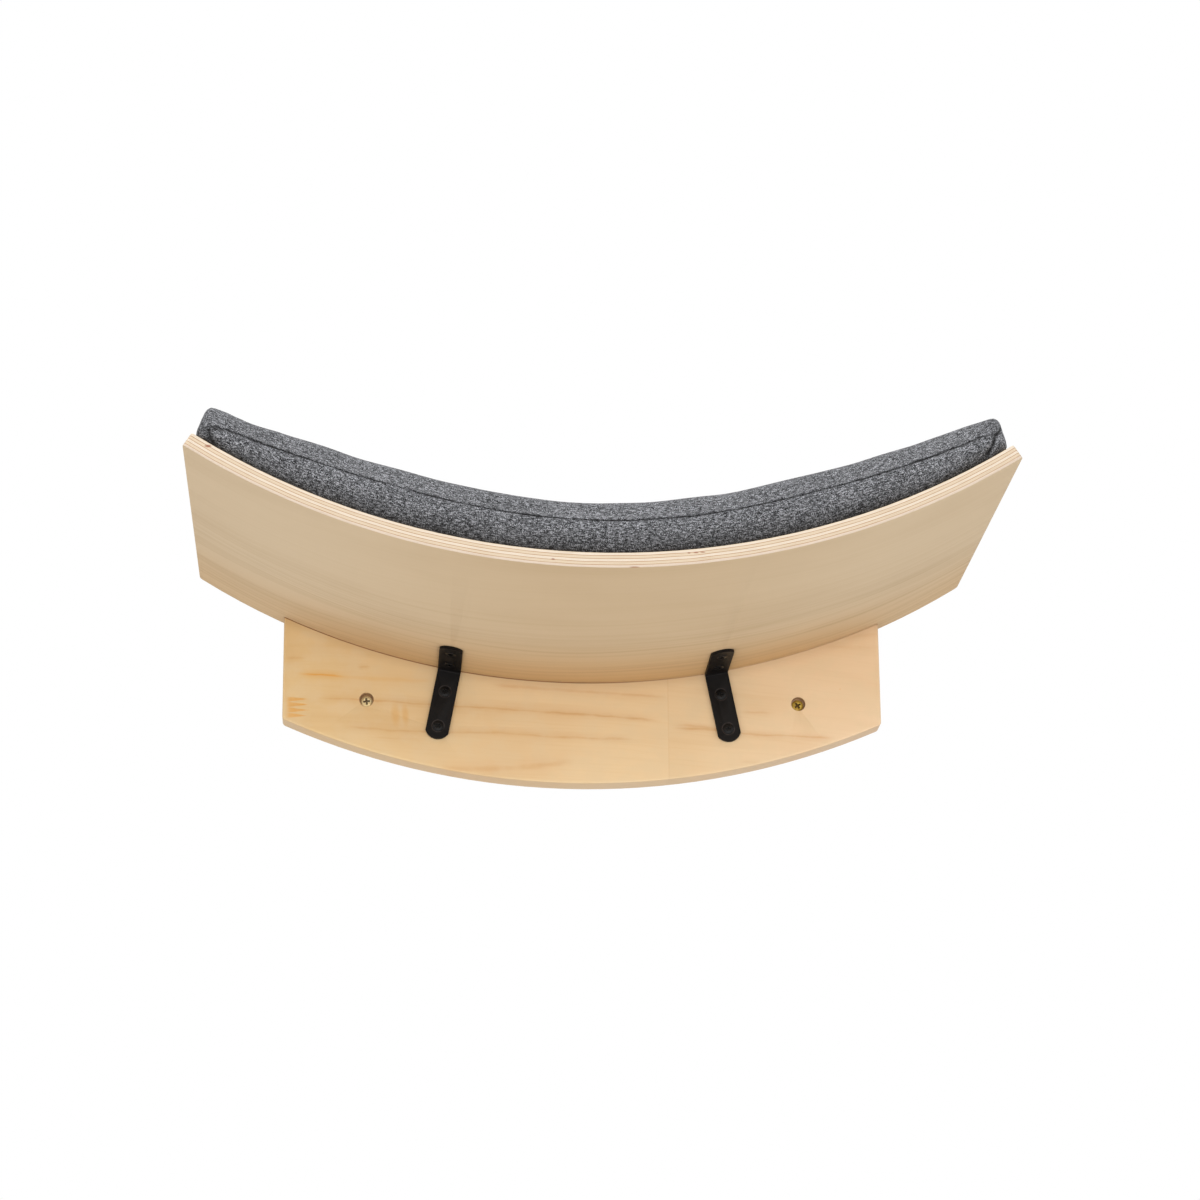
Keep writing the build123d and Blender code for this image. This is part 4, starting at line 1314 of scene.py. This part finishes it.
def driveScrews():
    tree = screwTree()
    seats = {"shelfScrews": [], "plateScrews": [], "wallScrews": []}
    spins = iter((0.5, 1.1, 0.2, 0.9, 1.3, 0.35, 0.75, 1.45))
    outwards = Vector((0, -1, 0))
    for side in (-1, 1):
        corner = bendPoint(0.46402, side * bracketAngle, -0.015)
        down = Vector((math.sin(side * bracketAngle), 0.0, -math.cos(side * bracketAngle)))
        for reach in plateScrewReach:
            seats["shelfScrews"].append((corner + outwards * reach + down * 0.002, down, next(spins)))
            seats["plateScrews"].append((corner + down * reach + outwards * 0.002, outwards, next(spins)))
        seats["wallScrews"].append(((side * screwSide, -0.0105, 0.0), outwards, 0.12 if side < 0 else 0.6))
    ends = {"shelfScrews": ("shelf_screw_rear", "shelf_screw_front"), "wallScrews": ("wall_screw",),
            "plateScrews": ("plate_screw_upper", "plate_screw_lower")}
    for name, places in seats.items():
        finish = "wall_screw_zinc" if name == "wallScrews" else "screw_paint"
        piece = grow(name, tree, seatPoints(name, places), {**screwKinds[name], "Finish": finishes[finish]}, sharp=35)
        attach(piece, "shelf")
        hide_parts(*[f"{side}_{end}" for side in ("left", "right") for end in ends[name]])
    print("screws driven in")


driveScrews()


# Zipper coils: a nylon spiral that follows the bend

chain = {
    "bendRadius": 0.4442,
    "coilOffset": 0.00122,  # each coil's distance from the chain's middle
    "coil": {"Turns": 292, "Wire Radius": 0.00029, "Half Angle": math.radians(23.66), "Bend Height": bendHeight,
             "Face": -0.0066, "Across Radius": 0.00056, "Depth Radius": 0.00050},
    "seamOffset": 0.0056,
    "seamHalfAngle": 24.35,
    "seamFace": -0.0052,
}


def coilTree():
    sizes = {**chain["coil"], "Bend Radius": chain["bendRadius"], "Hand": 1.0, "Finish": None}
    tree, given = newTree("zipperCoil", sizes)
    count = given["Turns"] * 8.0 + 1.0
    path = get(tree, "GeometryNodeMeshToCurve", {0: get(tree, "GeometryNodeMeshLine", {"Count": count})})
    index = get(tree, "GeometryNodeInputIndex")
    angle = (index / (count - 1.0) * 2.0 - 1.0) * given["Half Angle"]
    phase = index * (math.pi / 4) * given["Hand"]
    radius = given["Bend Radius"] + calc("COSINE", phase) * given["Across Radius"]
    y = given["Face"] + calc("SINE", phase) * given["Depth Radius"]
    wound = bendOver(path, radius, angle, y, given["Bend Height"])
    return closeTree(tree, tube(wound, 5, given["Wire Radius"]), given["Finish"])


def windCoils():
    tree = coilTree()
    for name, direction in (("upper", -1), ("lower", 1)):
        sizes = {**chain["coil"], "Bend Radius": chain["bendRadius"] + direction * chain["coilOffset"],
                 "Hand": float(direction), "Finish": finishes["zip_coil"]}
        piece = grow(f"{name}Coil", tree, bpy.data.meshes.new(name), sizes)
        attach(piece, "cushion")
        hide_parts(f"zip_coil_{name}")
    print("zipper coils wound")


windCoils()


# Hook and loop strips: woven tape with a pile of tiny hooks or loops

strip = {
    "angle": 20.0,
    "width": 0.025,
    "length": 0.150,
    "near": -0.050,
    "hemAcross": 0.0011,  # plain border beside the pile
    "hemAlong": 0.0008,
    "pile": {"Columns": 15, "Rows": 90, "Thread": 0.00008, "Middle": -0.125, "Bend Height": bendHeight},
    # backing's outer and inner radius, pile's base radius and height, body
    "hook": (0.4542, 0.45368, 0.45372, 0.00050, "shelf"),
    "loop": (0.45245, 0.4519, 0.45240, -0.00045, "cushion"),
    "seamRadius": 0.45256,
    "seamInset": 0.0012,
}


def pileTree(looped):
    tree, given = newTree("loopPile" if looped else "hookPile", {
        "Strip Angle": 0.35, "Width": 0.024, "Length": 0.148, "Base Radius": 0.454, "Pile Height": 0.0005,
        **strip["pile"], "Seed": 1, "Finish": None})
    base, tall = given["Base Radius"], given["Pile Height"]
    grid = get(tree, "GeometryNodeMeshGrid", {"Size X": given["Width"], "Size Y": given["Length"],
                                              "Vertices X": given["Columns"], "Vertices Y": given["Rows"]})
    flatX, flatY, _ = split(get(tree, "GeometryNodeInputPosition"))
    angle = flatX / base + given["Strip Angle"]
    bent = bendOver(grid, base, angle, flatY + given["Middle"], given["Bend Height"])
    arch = get(tree, "GeometryNodeCurveArc", {
        "Resolution": 6, "Radius": tall * 0.55, "Start Angle": math.radians(-60.0),
        "Sweep Angle": math.radians(300.0 if looped else 250.0)})
    fibre = tube(shift(arch, tall * 0.45, Rotation=(math.pi / 2, 0.0, 0.0)), 3, given["Thread"])
    up = axes(calc("SINE", angle) * -1.0, 0.0, calc("COSINE", angle))
    chance = get(tree, "FunctionNodeRandomValue", {"Seed": given["Seed"]}, out=1, data_type="FLOAT")
    twist = (chance - 0.5) * (6.2 if looped else 0.7)
    both = put(tree, "GeometryNodeJoinGeometry", {0: scatter(bent, fibre, aimAndSpin(up, twist))})
    fill(both, {0: given["Geometry"]})
    return closeTree(tree, Signal(both.outputs[0]), given["Finish"])


def bentSlab(name, outer, inner, middleAngle, halfWidth, near, far, across=10):
    angles = [middleAngle + (2 * k / across - 1) * halfWidth for k in range(across + 1)]
    loop = [bendPoint(outer, angle, 0.0) for angle in angles] + [bendPoint(inner, angle, 0.0) for angle in angles[::-1]]
    count = len(loop)
    points = [(p.x, y, p.z) for y in (near, far) for p in loop]
    faces = [(k, (k + 1) % count, (k + 1) % count + count, k + count) for k in range(count)]
    for k in range(across):
        faces.append((k, count - 1 - k, count - 2 - k, k + 1))
        faces.append((k + count, k + 1 + count, 2 * count - 2 - k, 2 * count - 1 - k))
    data = bpy.data.meshes.new(name)
    data.from_pydata(points, [], faces)
    shape = bmesh.new()
    shape.from_mesh(data)
    bmesh.ops.recalc_face_normals(shape, faces=shape.faces)
    shape.to_mesh(data)
    shape.free()
    return data


def layStrips():
    for kind, looped in (("hook", False), ("loop", True)):
        tree = pileTree(looped)
        outer, inner, base, height, body = strip[kind]
        for name, side in (("left", -1), ("right", 1)):
            middleAngle = side * math.radians(strip["angle"])
            halfWidth = strip["width"] / 2 / topRadius
            far = strip["near"] - strip["length"]
            slab = bentSlab(f"{name}{kind}", outer, inner, middleAngle, halfWidth, far, strip["near"])
            piece = grow(f"{name}{kind.capitalize()}Strip", tree, slab, {
                **strip["pile"], "Strip Angle": middleAngle, "Width": strip["width"] - 2 * strip["hemAcross"],
                "Length": strip["length"] - 2 * strip["hemAlong"], "Base Radius": base, "Pile Height": height,
                "Seed": 5 + side, "Finish": finishes[f"{kind}_tape"]}, sharp=40)
            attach(piece, body)
            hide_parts(f"{name}_{kind}_strip")
    print("hook and loop strips laid")


layStrips()


# Topstitches: short thread bars along the zipper's tapes and the loop strips


def stitchTree():
    tree, given = newTree("stitchRow", {"Pitch": 0.003, "Stitch Length": 0.0022, "Thread": 0.00022, "Finish": None})
    path = get(tree, "GeometryNodeMeshToCurve", {0: given["Geometry"]})
    points = put(tree, "GeometryNodeCurveToPoints", {"Curve": path, "Length": given["Pitch"]}, mode="LENGTH")
    half = given["Stitch Length"] * 0.5
    ends = {"Start": axes(0.0, 0.0, half * -1.0), "End": axes(0.0, 0.0, half)}
    thread = tube(get(tree, "GeometryNodeCurvePrimitiveLine", ends), 6, given["Thread"])
    placed = scatter(Signal(points.outputs[0]), thread, aim(Signal(points.outputs["Tangent"])))
    return closeTree(tree, placed, given["Finish"])


def sewStitches():
    half, middle, seam, face = (chain[word] for word in ("seamHalfAngle", "bendRadius", "seamOffset", "seamFace"))
    runs = [[bendPoint(middle + level, math.radians(turn), face) for turn in np.linspace(-half, half, 200)]
            for level in (-seam, seam)]
    runs += [[bendPoint(middle + level, math.radians(turn), face) for level in np.linspace(-seam, seam, 12)]
             for turn in (-half, half)]
    inset, radius = strip["seamInset"], strip["seamRadius"]
    near, far = strip["near"] - inset, strip["near"] - strip["length"] + inset
    for side in (-1, 1):
        middleAngle = side * math.radians(strip["angle"])
        halfAngle = (strip["width"] / 2 - inset) / topRadius
        turns = middleAngle - halfAngle, middleAngle + halfAngle
        runs += [[bendPoint(radius, turn, y) for y in np.linspace(near, far, 30)] for turn in turns]
        runs += [[bendPoint(radius, turn, y) for turn in np.linspace(*turns, 8)] for y in (near, far)]
    points, edges = [], []
    for run in runs:
        edges += [(len(points) + k, len(points) + k + 1) for k in range(len(run) - 1)]
        points += run
    data = bpy.data.meshes.new("stitchPaths")
    data.from_pydata(points, edges, [])
    piece = grow("coverStitches", stitchTree(), data, {"Finish": finishes["stitch_thread"]})
    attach(piece, "cushion")
    print("stitches sewn")


sewStitches()


# Boards and metal pieces: the CAD's own form with its sharp edges eased

easedEdges = {
    "left_bracket": 0.00025, "right_bracket": 0.00025, "zip_slider": 0.00018, "zip_pull": 0.00015,
    "zip_stops": 0.00015, "shelf_board": 0.0005, "wall_plate": 0.0008}
easedCorner = 0.0024  # lower corners of the wall plate
plateHalfWidth = 0.194


def shadeAsArc(piece):
    # the board's broad faces take the normals of the true bend, so its screw holes leave no facets
    data = bpy.data.meshes.new_from_object(piece.evaluated_get(bpy.context.evaluated_depsgraph_get()))
    piece.modifiers.clear()
    piece.data = data
    points = np.zeros(len(data.vertices) * 3, np.float32)
    data.vertices.foreach_get("co", points)
    corners = np.zeros(len(data.loops), np.int32)
    data.loops.foreach_get("vertex_index", corners)
    normals = np.zeros(len(data.loops) * 3, np.float32)
    data.corner_normals.foreach_get("vector", normals)
    normals = normals.reshape(-1, 3)
    radial = points.reshape(-1, 3)[corners] * (1, 0, 1) - (0, 0, bendHeight)
    radial /= np.linalg.norm(radial, axis=1, keepdims=True)
    facing = np.sum(normals * radial, axis=1)
    broad = np.abs(facing) > math.cos(math.radians(3.0))
    normals[broad] = radial[broad] * np.sign(facing[broad])[:, None]
    data.normals_split_custom_set(normals.tolist())
    print("board shaded as an arc,", int(broad.sum()), "corners")


def easePieces():
    for node, width in easedEdges.items():
        source = frame["nodes"][node]
        shape = bmesh.new()
        shape.from_mesh(source.data)
        bmesh.ops.remove_doubles(shape, verts=shape.verts, dist=1e-6)
        bmesh.ops.dissolve_limit(shape, angle_limit=math.radians(0.05), verts=shape.verts, edges=shape.edges)
        if node == "wall_plate":
            ends = [v for v in shape.verts if abs(v.co.x) > plateHalfWidth - 5e-5]
            lowest = min(v.co.z for v in ends)
            low = {v for v in ends if v.co.z < lowest + 5e-5}
            corner = [edge for edge in shape.edges if low.issuperset(edge.verts)]
            bmesh.ops.bevel(shape, geom=corner, offset=easedCorner, segments=4, profile=0.5, affect="EDGES",
                            clamp_overlap=True)
            print("plate corners rounded,", len(corner), "edges")
        data = bpy.data.meshes.new(node)
        shape.to_mesh(data)
        shape.free()
        data.materials.clear()
        data.materials.append(finishes[slotOf[node]])
        data.polygons.foreach_set("use_smooth", np.ones(len(data.polygons), bool))
        data.set_sharp_from_angle(angle=math.radians(35))
        piece = addObject(node.replace("_", "") + "Eased", data)
        bevel = piece.modifiers.new("EasedEdges", "BEVEL")
        bevel.width = width
        bevel.segments = 3 if node == "wall_plate" else 2
        bevel.limit_method = "ANGLE"
        bevel.angle_limit = math.radians(40)
        bevel.harden_normals = True
        if node == "shelf_board":
            shadeAsArc(piece)
        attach(piece, source["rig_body"])
        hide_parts(node)
    print("edges of boards and metal pieces eased")


easePieces()
